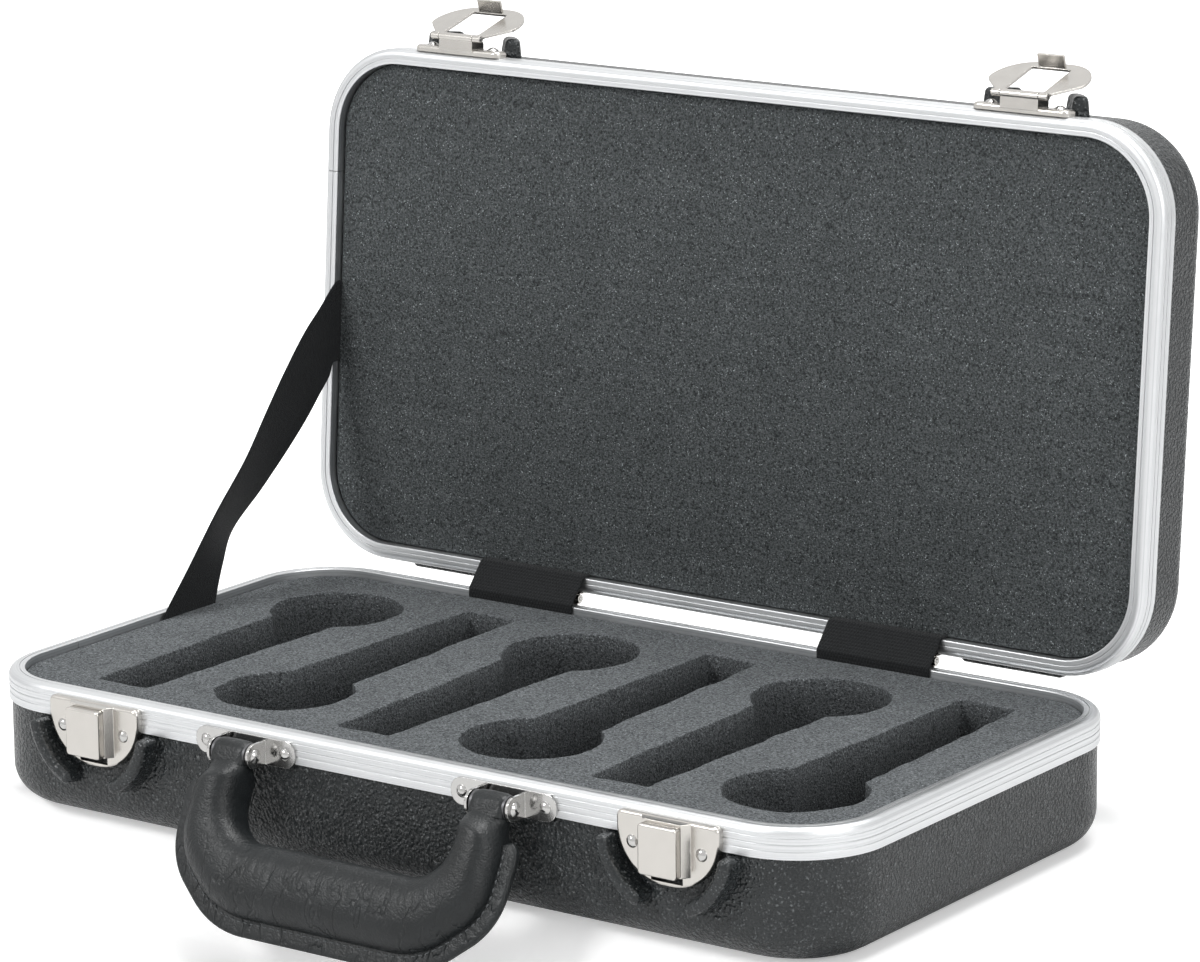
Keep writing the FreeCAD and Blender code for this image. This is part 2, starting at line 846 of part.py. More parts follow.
def lid_foam():
    body = new_body("lid_foam")
    top = lid_rim + size.lid_height - size.shell_wall - size.foam_floor_gap
    prism(body, "XY_Plane", lid_rim + size.lid_foam_drop, top, case_outline(foam_inset))
    edge = size.lid_edge_radius - size.shell_wall - (foam_inset - cavity_inset)
    rounded(body, edge, on_outline(top, foam_inset))
    return body


# Latches on the base

def latch_plate(label, x):
    """A pressed plate with a raised track for its slide and a slot for the flap's tab."""
    body = new_body(f"{label}_pressing")
    half, edge = size.latch_width / 2, size.latch_corner_radius

    def outline(inset):
        side = half - inset
        low, high = parting - size.latch_bottom_drop + inset, parting - size.latch_top_drop - inset
        turn, corner = size.latch_round_radius - inset, edge - inset
        return shifted(mirrored([(side, low, turn), (side, high, corner)]), x, 0)

    crown = frame_face + size.latch_proud
    prism(body, "XZ_Plane", frame_face, crown, outline(0))
    rounded(body, size.latch_edge_radius, level_with(1, -crown))
    track = frame_face + size.track_proud
    root = crown - size.plate_sheet / 2
    prism(body, "XY_Plane", parting - size.track_bottom_drop, parting - size.track_top_drop, [
        (x - size.track_base_width / 2, -root),
        (x - size.track_top_width / 2, -track),
        (x + size.track_top_width / 2, -track),
        (x + size.track_base_width / 2, -root),
    ])
    hollow(body, "XZ_Plane", frame_face, crown - size.plate_sheet, outline(size.plate_sheet))
    hollow(body, "XZ_Plane", frame_face, track - size.track_skin, rectangle(
        *about(x, size.track_hollow_width),
        parting - size.track_hollow_bottom_drop, parting - size.track_hollow_top_drop))
    hollow(body, "XZ_Plane", frame_face, track + size.overrun, rectangle(
        *about(x, size.track_slot_width),
        parting - size.track_slot_bottom_drop, parting - size.track_slot_top_drop))
    hollow(body, "XZ_Plane", frame_face, crown + size.overrun, rectangle(
        *about(x, size.catch_slot_width),
        parting - size.catch_slot_bottom_drop, parting - size.catch_slot_top_drop))
    holes = [wall_hole(f"{label}_hole_{step}", x + size.latch_rivet_x * step, parting - size.latch_rivet_drop,
                       "large") for step in (-1, 1)]
    return cut(label, body, holes)


def latch_slide(label, x):
    """A cap on a stem through the track's slot, with a catch behind it that holds the flap's tab."""
    body = new_body(label)
    back = frame_face + size.track_proud + size.slide_gap
    crown = back + size.slide_height
    low, high = parting - size.slide_bottom_drop, parting - size.slide_top_drop
    prism(body, "XZ_Plane", back, crown, rectangle(
        *about(x, size.slide_width), low, high, size.slide_corner_radius))
    rounded(body, size.slide_edge_radius, level_with(1, -crown))
    wall = size.slide_wall
    hollow(body, "XZ_Plane", back, crown - wall, rectangle(
        *about(x, size.slide_width - wall * 2), low + wall, high - wall))
    catch = frame_face + size.catch_proud
    prism(body, "XZ_Plane", catch, crown - wall / 2, rectangle(
        *about(x, size.stem_width), parting - size.stem_bottom_drop, parting - size.stem_top_drop))
    prism(body, "XZ_Plane", catch, catch + size.catch_thickness, rectangle(
        *about(x, size.catch_width), parting - size.catch_bottom_drop, parting - size.catch_top_drop))
    return body


def latch_spring(label, x):
    """A spring between the slide's stem and the top of the track's hollow."""
    low = parting - size.stem_top_drop
    length = size.stem_top_drop - size.track_hollow_top_drop
    middle = (size.latch_proud - size.plate_sheet + size.track_proud - size.track_skin) / 2
    y = -(frame_face + middle)
    outer = cylinder(f"{label}_outer", size.spring_radius, length, UPRIGHT, x, y, low)
    bore = cylinder(f"{label}_bore", size.spring_bore, length + size.overrun * 2, UPRIGHT,
                    x, y, low - size.overrun)
    return cut(label, outer, [bore])


# Hasps on the lid, drawn with the lid shut and the flap shut

flap_y = -(frame_face + size.flap_axis_proud)
flap_z = parting + size.flap_axis_rise


def hasp_plate(label, x):
    """A pressed plate with the box that carries the flap's pin."""
    body = new_body(f"{label}_pressing")
    low, high = lid_rim + size.hasp_bottom_rise, lid_rim + size.hasp_top_rise
    crown = frame_face + size.hasp_proud
    sheet = size.plate_sheet
    prism(body, "XZ_Plane", frame_face, crown, rectangle(
        *about(x, size.hasp_width), low, high, size.hasp_corner_radius))
    rounded(body, size.hasp_edge_radius, level_with(1, -crown))
    hollow(body, "XZ_Plane", frame_face, crown - sheet, rectangle(
        *about(x, size.hasp_width - sheet * 2), low + sheet, high - sheet, size.hasp_corner_radius - sheet))
    box_low = lid_rim + size.hasp_box_bottom_rise
    box_crown = frame_face + size.hasp_box_proud
    root = frame_face + size.hasp_proud - sheet
    prism(body, "YZ_Plane", *about(x, size.hasp_box_width), [
        (-root, box_low),
        (-box_crown, box_low),
        (-box_crown, lid_rim + size.hasp_box_top_rise, size.hasp_box_radius),
        (-root, lid_rim + size.hasp_box_top_rise),
    ])
    prism(body, "YZ_Plane", *about(x, size.hasp_box_width), rectangle(
        flap_y, -root, box_low, box_low + size.hasp_lug_thickness))
    solids = [body, cylinder(f"{label}_knuckle", size.flap_knuckle_radius, size.hasp_box_width, ALONG_X,
                             x - size.hasp_box_width / 2, flap_y, flap_z)]
    holes = [wall_hole(f"{label}_hole_{step}", x + size.hasp_rivet_x * step, lid_rim + size.hasp_rivet_rise,
                       "large") for step in (-1, 1)]
    holes.append(cylinder(f"{label}_bore", size.flap_pin_radius + size.flap_pin_gap,
                          size.hasp_box_width + size.overrun * 2, ALONG_X,
                          x - size.hasp_box_width / 2 - size.overrun, flap_y, flap_z))
    return cut(label, fused(f"{label}_solids", solids), holes)


def hasp_flap(label, x):
    """A sheet flap with a window for the slide, two knuckles and a tab bent in at the window's end."""
    body = new_body(f"{label}_sheet")
    back = frame_face + size.flap_proud

    def down(distance):
        return flap_z - distance

    prism(body, "XZ_Plane", back, back + size.flap_thickness, shifted(mirrored([
        (size.flap_width / 2, down(size.flap_length), size.flap_round_radius),
        (size.flap_width / 2, down(size.flap_shoulder), size.flap_shoulder_radius),
        (size.flap_neck_width / 2, down(size.flap_neck_length)),
        (size.flap_neck_width / 2, down(0)),
    ]), x, 0))
    hollow(body, "XZ_Plane", back - size.overrun, back + size.flap_thickness + size.overrun, rectangle(
        *about(x, size.window_width), down(size.window_far), down(size.window_near),
        size.window_corner_radius))
    prism(body, "XZ_Plane", frame_face + size.tab_tip_proud, back + size.flap_thickness / 2, rectangle(
        *about(x, size.tab_width), down(size.tab_near + size.tab_thickness), down(size.tab_near)))
    gap = size.flap_knuckle_gap
    inner = size.hasp_box_width / 2 + gap
    length = size.flap_neck_width / 2 - inner
    knuckles = []
    for step in (-1, 1):
        start = x + inner if step > 0 else x - inner - length
        knuckles.append(cylinder(f"{label}_knuckle_{step}", size.flap_knuckle_radius, length, ALONG_X,
                                 start, flap_y, flap_z))
    reach = size.flap_knuckle_radius + gap
    holes = [
        box(f"{label}_relief", (x - inner, x + inner), (flap_y - reach, flap_y + reach),
            (flap_z - reach, flap_z + reach)),
        cylinder(f"{label}_bore", size.flap_pin_radius + size.flap_pin_gap,
                 size.flap_neck_width + size.overrun * 2, ALONG_X,
                 x - size.flap_neck_width / 2 - size.overrun, flap_y, flap_z),
    ]
    return cut(label, fused(f"{label}_solids", [body, *knuckles]), holes)


# Hinges on the back, under the webbing

KNUCKLES = 5


def hinge_leaf(label, x, on_lid):
    """A leaf on the frame's back with every second knuckle of its hinge."""
    into = 1 if on_lid else -1
    rim = lid_rim if on_lid else parting
    near = rim + size.leaf_clearance * into
    far = rim + size.leaf_height * into
    low, high = ordered(near, far)
    start = x - size.hinge_length / 2
    pitch = size.hinge_length / KNUCKLES
    solids = [box(f"{label}_sheet", (start, start + size.hinge_length),
                  (frame_face, frame_face + size.leaf_thickness), (low, high))]
    web_far = hinge_z + (size.knuckle_radius + size.leaf_thickness / 2) * into
    web_near = web_far - size.leaf_thickness * into
    web_low, web_high = ordered(web_near, web_far)
    for i in range(1 if on_lid else 0, KNUCKLES, 2):
        left = start + pitch * i + size.knuckle_gap / 2
        length = pitch - size.knuckle_gap
        solids.append(cylinder(f"{label}_knuckle_{i}", size.knuckle_radius, length, ALONG_X,
                               left, hinge_y, hinge_z))
        solids.append(box(f"{label}_web_{i}", (left, left + length), (frame_face, hinge_y),
                          (web_low, web_high)))
    rivets = lid_hinge_rivets if on_lid else base_hinge_rivets
    holes = [cylinder(f"{label}_bore", size.hinge_pin_radius + size.hinge_pin_gap,
                      size.hinge_length + size.overrun * 2, ALONG_X, start - size.overrun, hinge_y, hinge_z)]
    for i, (rivet_x, z) in enumerate(rivets):
        if abs(rivet_x.number - x.number) < size.hinge_length.number / 2:
            holes.append(wall_hole(f"{label}_hole_{i}", rivet_x, z, "small", back=True))
    return cut(label, fused(f"{label}_solids", solids), holes)


# Webbing and stay strap

def ribbon(path, thickness):
    """The outline of a ribbon along a path, half of its thickness to each side."""
    sides = ([], [])
    for i, (u, v) in enumerate(path):
        here = FreeCAD.Vector(number_of(u), number_of(v), 0)
        ways = []
        for j in (i - 1, i):
            if 0 <= j < len(path) - 1:
                a = FreeCAD.Vector(number_of(path[j][0]), number_of(path[j][1]), 0)
                b = FreeCAD.Vector(number_of(path[j + 1][0]), number_of(path[j + 1][1]), 0)
                ways.append((b - a).normalize())
        middle = (ways[0] + ways[-1]).normalize()
        stretch = 1 / middle.dot(ways[0])
        for side, outline in ((0.5, sides[0]), (-0.5, sides[1])):
            outline.append((u - thickness * (middle.y * stretch * side),
                            v + thickness * (middle.x * stretch * side)))
    return sides[0] + list(reversed(sides[1]))


def from_lid(y, z):
    """Where a point of the shut lid lies when the lid is open."""
    turn_cos, turn_sin = cosine(size.lid_open_angle), sine(size.lid_open_angle)
    across, up = y - hinge_y, z - hinge_z
    return hinge_y + across * turn_cos + up * turn_sin, hinge_z - across * turn_sin + up * turn_cos


def webbing(label, x):
    """Webbing drawn tight over the hinge and tucked between lip and foam in base and lid."""
    body = new_body(label)
    slot = frame_face - size.frame_width - size.foam_gap / 2
    clear = size.webbing_clearance + size.webbing_thickness / 2
    path = [
        (slot, parting - size.webbing_tuck),
        (slot, parting + clear),
        from_lid(slot, lid_rim - clear),
        from_lid(slot, lid_rim + size.webbing_tuck),
    ]
    prism(body, "YZ_Plane", *about(x, size.webbing_width), ribbon(path, size.webbing_thickness))
    return body


# The strap's two edges on its way up to the lid. Each place has its share of the span between the
# slots, then its distance to the side and its lean outwards as shares of the strap's width.
STRAP_EDGE_SHARES = (
    ((0.088, -0.60, 0.11), (0.189, 0.23, -0.02)),
    ((0.261, -0.73, 0.22), (0.300, 0.22, -0.15)),
    ((0.448, -0.65, 0.19), (0.450, 0.30, -0.06)),
    ((0.604, -0.62, 0.11), (0.589, 0.37, 0.00)),
    ((0.744, -0.61, 0.06), (0.713, 0.45, 0.00)),
    ((0.886, -0.58, 0.03), (0.819, 0.47, 0.00)),
    ((0.993, -0.48, 0.00), (0.866, 0.48, 0.00)),
)


def stay_strap():
    """A flat strap that holds the lid, creased and leaning a little low down."""
    x = -(size.case_length / 2 - size.frame_width - size.foam_gap / 2).number
    half_slot, tuck = size.strap_slot_width.number / 2, size.strap_tuck.number
    width, thickness = size.strap_width.number, size.strap_thickness.number
    base_y, base_z = size.strap_base_y.number, (parting - size.base_foam_drop).number

    def lid_edge(side, deep):
        y, z = from_lid(size.strap_lid_y.number + half_slot * side, lid_rim + deep)
        return FreeCAD.Vector(x, y.number, z.number)

    def base_edge(side, deep):
        return FreeCAD.Vector(x, base_y + half_slot * side, base_z - deep)

    edges = [[base_edge(side, deep) for side in (-1, 1)] for deep in (tuck, 0)]
    low, high = (edges[1][0] + edges[1][1]) / 2, (lid_edge(-1, 0) + lid_edge(1, 0)) / 2
    span = high - low
    across = FreeCAD.Vector(0, span.z, -span.y).normalize() * width
    lean = FreeCAD.Vector(width, 0, 0)
    for pair in STRAP_EDGE_SHARES:
        edges.append([low + span * along + across * aside + lean * out for along, aside, out in pair])
    edges += [[lid_edge(side, deep) for side in (-1, 1)] for deep in (0, tuck)]
    sections = []
    for i, (left, right) in enumerate(edges):
        before, after = edges[max(i - 1, 0)], edges[min(i + 1, len(edges) - 1)]
        way = after[0] + after[1] - before[0] - before[1]
        flat = (right - left).cross(way).normalize() * (thickness / 2)
        corners = [left + flat, right + flat, right - flat, left - flat]
        sections.append(Part.makePolygon(corners + corners[:1]))
    strap = doc.addObject("Part::Feature", "stay_strap")
    strap.Shape = Part.makeLoft(sections, True, True)
    return strap


# Handle and its brackets, drawn with the handle hanging straight down

pivot_y = -(frame_face + size.pivot_proud)
pivot_z = parting - size.pivot_drop
grip_bottom_x = bracket_x - size.grip_bottom_in
grip_side_x = bracket_x + size.grip_side_out


EAR_SHARE = 0.9


def handle_bracket(label, x):
    """A riveted plate with two ears for the handle's pin."""
    plate = new_body(f"{label}_plate")
    z = parting - size.bracket_drop
    crown = frame_face + size.bracket_thickness
    prism(plate, "XZ_Plane", frame_face, crown, rectangle(
        *about(x, size.bracket_length), *about(z, size.bracket_height), size.bracket_corner_radius))
    solids = [plate]
    radius = size.ear_radius
    for step in (-1, 1):
        ear = new_body(f"{label}_ear_{step + 1}")
        near, far = x + size.ear_offset * step, x + (size.ear_offset + size.ear_thickness) * step
        prism(ear, "YZ_Plane", near, far, [
            (-frame_face - size.bracket_thickness / 2, pivot_z - radius),
            (pivot_y - radius, pivot_z - radius, radius * EAR_SHARE),
            (pivot_y - radius, pivot_z + radius, radius * EAR_SHARE),
            (-frame_face - size.bracket_thickness / 2, pivot_z + radius),
        ])
        solids.append(ear)
    holes = [wall_hole(f"{label}_hole_{step}", x + size.bracket_rivet_x * step, z, "large")
             for step in (-1, 1)]
    reach = size.ear_offset + size.ear_thickness + size.overrun
    holes.append(cylinder(f"{label}_bore", size.pivot_pin_radius + size.pivot_ear_gap, reach * 2, ALONG_X,
                          x - reach, pivot_y, pivot_z))
    return cut(label, fused(f"{label}_solids", solids), holes)


def handle_pin(label, x):
    """A pin through both ears with a domed head on each end."""
    reach = size.ear_offset + size.ear_thickness
    return fused(label, [
        cylinder(f"{label}_shank", size.pivot_pin_radius, reach * 2, ALONG_X, x - reach, pivot_y, pivot_z),
        dome(f"{label}_right_head", size.pivot_head_radius, size.pivot_head_angle, ALONG_X,
             x + reach, pivot_y, pivot_z),
        dome(f"{label}_left_head", size.pivot_head_radius, size.pivot_head_angle, AGAINST_X,
             x - reach, pivot_y, pivot_z),
    ])


def handle_core(label):
    """A flat steel bow with an eye at each end."""
    bow = new_body(f"{label}_bow")
    half = size.core_thickness / 2
    low = pivot_z - size.core_depth
    outer, inner = bracket_x + half, bracket_x - half
    prism(bow, "XZ_Plane", *about(-pivot_y, size.core_width), [
        (-outer, pivot_z),
        (-outer, low - half, size.core_bend_radius + half),
        (outer, low - half, size.core_bend_radius + half),
        (outer, pivot_z),
        (inner, pivot_z),
        (inner, low + half, size.core_bend_radius - half),
        (-inner, low + half, size.core_bend_radius - half),
        (-inner, pivot_z),
    ])
    solids, holes = [bow], []
    for side, sign in SIDES:
        x = bracket_x * sign
        start = x - size.eye_width / 2
        solids.append(cylinder(f"{label}_eye_{side}", size.eye_radius, size.eye_width, ALONG_X,
                               start, pivot_y, pivot_z))
        holes.append(cylinder(f"{label}_bore_{side}", size.pivot_pin_radius + size.pivot_eye_gap,
                              size.eye_width + size.overrun * 2, ALONG_X, start - size.overrun,
                              pivot_y, pivot_z))
    return cut(label, fused(f"{label}_solids", solids), holes)


WELT_SHARE = 0.4


def handle_welt(label):
    """The sewn edge round the outside of the grip."""
    body = new_body(label)
    out, inside = size.welt_outside, size.welt_inside
    layer = about(-pivot_y, size.welt_thickness)

    def edge(grow):
        return [
            (grip_bottom_x + grow * WELT_SHARE, pivot_z - size.grip_bottom_depth - grow,
             size.grip_bottom_radius + grow),
            (grip_side_x + grow, pivot_z - size.grip_side_depth - grow * WELT_SHARE,
             size.grip_side_radius + grow),
        ]

    prism(body, "XZ_Plane", *layer, mirrored(edge(out) + [
        (grip_side_x + out, pivot_z - size.welt_start, out),
    ]))
    hollow(body, "XZ_Plane", layer[0] - size.overrun, layer[1] + size.overrun, mirrored(edge(-inside) + [
        (grip_side_x - inside, pivot_z),
    ]))
    return body


def handle_grip(label, core, welt):
    """A padded grip round the core, open where the fingers go."""
    body = new_body(f"{label}_padding")
    end_out = bracket_x + size.grip_end_width / 2
    end_in = bracket_x - size.grip_end_width / 2

    def down(distance):
        return pivot_z - distance

    outer = [
        (grip_bottom_x, down(size.grip_bottom_depth), size.grip_bottom_radius),
        (grip_side_x, down(size.grip_side_depth), size.grip_side_radius),
        (bracket_x + size.grip_shoulder_out, down(size.grip_shoulder_depth), size.grip_shoulder_radius),
        (end_out, down(size.grip_end_depth), size.grip_end_radius),
        (end_out, down(size.grip_start)),
        (end_in, down(size.grip_start)),
        (bracket_x - size.grip_inner_in, down(size.grip_inner_depth), size.grip_inner_radius),
    ]
    prism(body, "XZ_Plane", *about(-pivot_y, size.grip_thickness), mirrored(outer))
    half = size.grip_thickness / 2
    end = down(size.grip_start).number

    def on_face(point):
        return abs(abs(point.y - pivot_y.number) - half.number) < 1e-4

    def runs_along(edge):
        points = edge.discretize(Number=5)
        return all(on_face(point) for point in points) and any(abs(point.z - end) > 1e-4 for point in points)

    rounded(body, size.grip_edge_radius, runs_along, whole=True)
    end_half = size.grip_end_thickness / 2
    for sign in (-1, 1):
        hollow(body, "YZ_Plane", -size.case_length / 2, size.case_length / 2, [
            (pivot_y + end_half * sign, down(size.grip_start)),
            (pivot_y + (half + size.overrun) * sign, down(size.grip_start)),
            (pivot_y + (half + size.overrun) * sign, down(size.grip_taper_depth)),
            (pivot_y + half * sign, down(size.grip_taper_depth)),
        ])
    turned(body, -size.handle_tilt, *swung(pivot_y, pivot_z, size.handle_tilt))
    return cut(label, body, [core, welt])


# The nodes, each under its own name

nodes = {}


def keep(solid):
    nodes[solid.Label] = solid
    return solid


def turned(solid, angle, y, z):
    """Turns a piece about a line along X and moves it."""
    solid.Placement = FreeCAD.Placement(FreeCAD.Vector(), FreeCAD.Rotation(FreeCAD.Vector(1, 0, 0), 1))
    bind(solid, ".Placement.Rotation.Angle", angle)
    bind(solid, ".Placement.Base.y", y)
    bind(solid, ".Placement.Base.z", z)


def swung(y, z, angle):
    """Where a turn by an angle about a line along X takes the origin."""
    turn_cos, turn_sin = cosine(angle), sine(angle)
    return y - y * turn_cos - z * turn_sin, z + y * turn_sin - z * turn_cos


def rivet_group(label, places, seat, grip_face, kind, back=False):
    return grouped(label, [
        rivet(f"{label}_{i}", x, z, seat, grip_face, kind, back) for i, (x, z) in enumerate(places)])


wall_inside = frame_face - cavity_inset
lip_inside = frame_face - size.frame_width

keep(base_shell())
keep(base_frame())
keep(base_foam_pad())
keep(base_foam())
for side, sign in SIDES:
    keep(latch_plate(f"latch_plate_{side}", latch_x * sign))
    keep(latch_slide(f"latch_slide_{side}", latch_x * sign))
    keep(latch_spring(f"latch_spring_{side}", latch_x * sign))
    keep(handle_bracket(f"handle_bracket_{side}", bracket_x * sign))
    keep(hinge_leaf(f"hinge_leaf_base_{side}", hinge_x * sign, False))
    keep(webbing(f"webbing_{side}", hinge_x * sign))
keep(stay_strap())
keep(rivet_group("latch_rivets", latch_rivets, frame_face + size.latch_proud, wall_inside, "large"))
keep(rivet_group("bracket_rivets", bracket_rivets, frame_face + size.bracket_thickness, wall_inside, "large"))
keep(rivet_group("hinge_rivets_base", base_hinge_rivets, frame_face + size.leaf_thickness, wall_inside,
                 "small", back=True))
keep(grouped("handle_pins", [handle_pin(f"handle_pin_{side}", bracket_x * sign) for side, sign in SIDES]))
keep(grouped("hinge_pins", [
    cylinder(f"hinge_pin_{side}", size.hinge_pin_radius, size.hinge_length, ALONG_X,
             hinge_x * sign - size.hinge_length / 2, hinge_y, hinge_z) for side, sign in SIDES]))

lid_pieces = [keep(lid_shell()), keep(lid_frame()), keep(lid_foam())]
for side, sign in SIDES:
    lid_pieces.append(keep(hasp_plate(f"hasp_plate_{side}", latch_x * sign)))
    lid_pieces.append(keep(hinge_leaf(f"hinge_leaf_lid_{side}", hinge_x * sign, True)))
lid_pieces.append(keep(rivet_group(
    "hasp_rivets", hasp_rivets, frame_face + size.hasp_proud, lip_inside, "large")))
lid_pieces.append(keep(rivet_group(
    "hinge_rivets_lid", lid_hinge_rivets, frame_face + size.leaf_thickness, wall_inside, "small", back=True)))
lid_pieces.append(keep(grouped("hasp_pins", [
    cylinder(f"hasp_pin_{side}", size.flap_pin_radius, size.flap_neck_width, ALONG_X,
             latch_x * sign - size.flap_neck_width / 2, flap_y, flap_z) for side, sign in SIDES])))
for piece in lid_pieces:
    turned(piece, -size.lid_open_angle, *swung(hinge_y, hinge_z, size.lid_open_angle))

for side, sign in SIDES:
    flap = keep(hasp_flap(f"hasp_flap_{side}", latch_x * sign))
    opened = swung(flap_y, flap_z, size.flap_open_angle)
    turned(flap, -(size.lid_open_angle + size.flap_open_angle), *from_lid(*opened))

core = keep(handle_core("handle_core"))
welt = keep(handle_welt("handle_welt"))
for piece in (core, welt):
    turned(piece, -size.handle_tilt, *swung(pivot_y, pivot_z, size.handle_tilt))
keep(handle_grip("handle_grip", core, welt))

doc.recompute()

# Checks, then one file for each node
for thing in doc.Objects:
    if "Invalid" in thing.State or "Error" in thing.State:
        raise RuntimeError(f"{thing.Label} did not compute: {thing.State}")
for name, solid in nodes.items():
    if solid.Shape.isNull() or not solid.Shape.isValid():
        raise RuntimeError(f"{name} has no valid shape")

os.makedirs("parts", exist_ok=True)
for name, solid in nodes.items():
    solid.Shape.exportStep(f"parts/{name}.step")
print(f"{len(nodes)} nodes written")
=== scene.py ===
import json
import math

import bmesh
import bpy
from mathutils import Matrix, Vector, noise


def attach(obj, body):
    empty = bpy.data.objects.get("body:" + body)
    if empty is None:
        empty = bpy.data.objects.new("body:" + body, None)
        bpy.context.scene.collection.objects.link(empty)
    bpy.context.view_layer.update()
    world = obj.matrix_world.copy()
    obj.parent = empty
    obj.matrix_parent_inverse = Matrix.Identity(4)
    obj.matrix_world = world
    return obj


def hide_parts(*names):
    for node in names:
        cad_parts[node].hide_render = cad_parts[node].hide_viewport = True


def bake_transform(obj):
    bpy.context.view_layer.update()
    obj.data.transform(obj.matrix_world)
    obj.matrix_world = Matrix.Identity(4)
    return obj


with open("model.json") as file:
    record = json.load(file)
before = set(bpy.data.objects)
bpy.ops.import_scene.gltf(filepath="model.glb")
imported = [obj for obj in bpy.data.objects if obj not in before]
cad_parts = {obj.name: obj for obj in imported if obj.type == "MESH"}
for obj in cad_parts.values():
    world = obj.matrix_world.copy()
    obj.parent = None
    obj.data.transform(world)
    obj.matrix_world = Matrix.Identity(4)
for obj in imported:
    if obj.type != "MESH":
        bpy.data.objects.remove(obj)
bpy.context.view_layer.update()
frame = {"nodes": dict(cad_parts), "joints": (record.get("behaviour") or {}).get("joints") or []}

# Microphone case, open, on a pale plinth. Places are in metres from the centre of the underside.
MM = 0.001
CASE_LENGTH = 420 * MM
CASE_DEPTH = 225 * MM
CORNER = 38 * MM
LID_RIM = 54.9 * MM
FOAM_INSET = 7.2 * MM
CASE_STEP = 2 * MM


def joint(name):
    """The record's entry for a joint."""
    return next(item for item in frame["joints"] if item["name"] == name)


HINGE = Vector(joint("lid_hinge")["pos_m"])
LID_OPEN = math.radians(joint("lid_hinge")["range_deg"][1])
PIVOT = Vector(joint("handle_pivot")["pos_m"])
# The handle is drawn hanging straight down and tilted out by this angle
HANDLE_TILT = math.radians(27)


def turn_about(point, angle):
    """A turn about a line along X through a point."""
    return Matrix.Translation(point) @ Matrix.Rotation(angle, 4, "X") @ Matrix.Translation(-point)


OPENED = turn_about(HINGE, -LID_OPEN)
TILTED = turn_about(PIVOT, -HANDLE_TILT)


# Camera, matched to the photograph
CAMERA_PLACE = Vector((1.21896, -1.65382, 0.63332))
CAMERA_YAW = math.radians(35.78)
CAMERA_PITCH = math.radians(13.41)
CAMERA_ROLL = math.radians(-0.56)
CAMERA_FOCUS_PX = 5269.75
CAMERA_CENTRE_PX = (596.85, 471.04)
IMAGE_PX = (1200, 962)
SENSOR = 36.0


def add_camera():
    """A camera at the photograph's place, with its frame shifted a little off the lens's middle."""
    data = bpy.data.cameras.new("photo_camera")
    camera = bpy.data.objects.new("photo_camera", data)
    bpy.context.scene.collection.objects.link(camera)
    ahead = Vector((-math.sin(CAMERA_YAW) * math.cos(CAMERA_PITCH),
                    math.cos(CAMERA_YAW) * math.cos(CAMERA_PITCH), -math.sin(CAMERA_PITCH)))
    level = Vector((math.cos(CAMERA_YAW), math.sin(CAMERA_YAW), 0))
    upward = level.cross(ahead)
    right = level * math.cos(CAMERA_ROLL) + upward * math.sin(CAMERA_ROLL)
    up = upward * math.cos(CAMERA_ROLL) - level * math.sin(CAMERA_ROLL)
    turn = Matrix((right, up, -ahead)).transposed().to_4x4()
    camera.matrix_world = Matrix.Translation(CAMERA_PLACE) @ turn
    data.sensor_width = SENSOR
    data.lens = CAMERA_FOCUS_PX / IMAGE_PX[0] * SENSOR
    data.shift_x = (IMAGE_PX[0] / 2 - CAMERA_CENTRE_PX[0]) / IMAGE_PX[0]
    data.shift_y = (CAMERA_CENTRE_PX[1] - IMAGE_PX[1] / 2) / IMAGE_PX[0]
    data.clip_start = 0.05
    data.clip_end = 50
    bpy.context.scene.camera = camera


# Materials. Scales are turns in a metre of object coordinates, and bump distances are in metres.

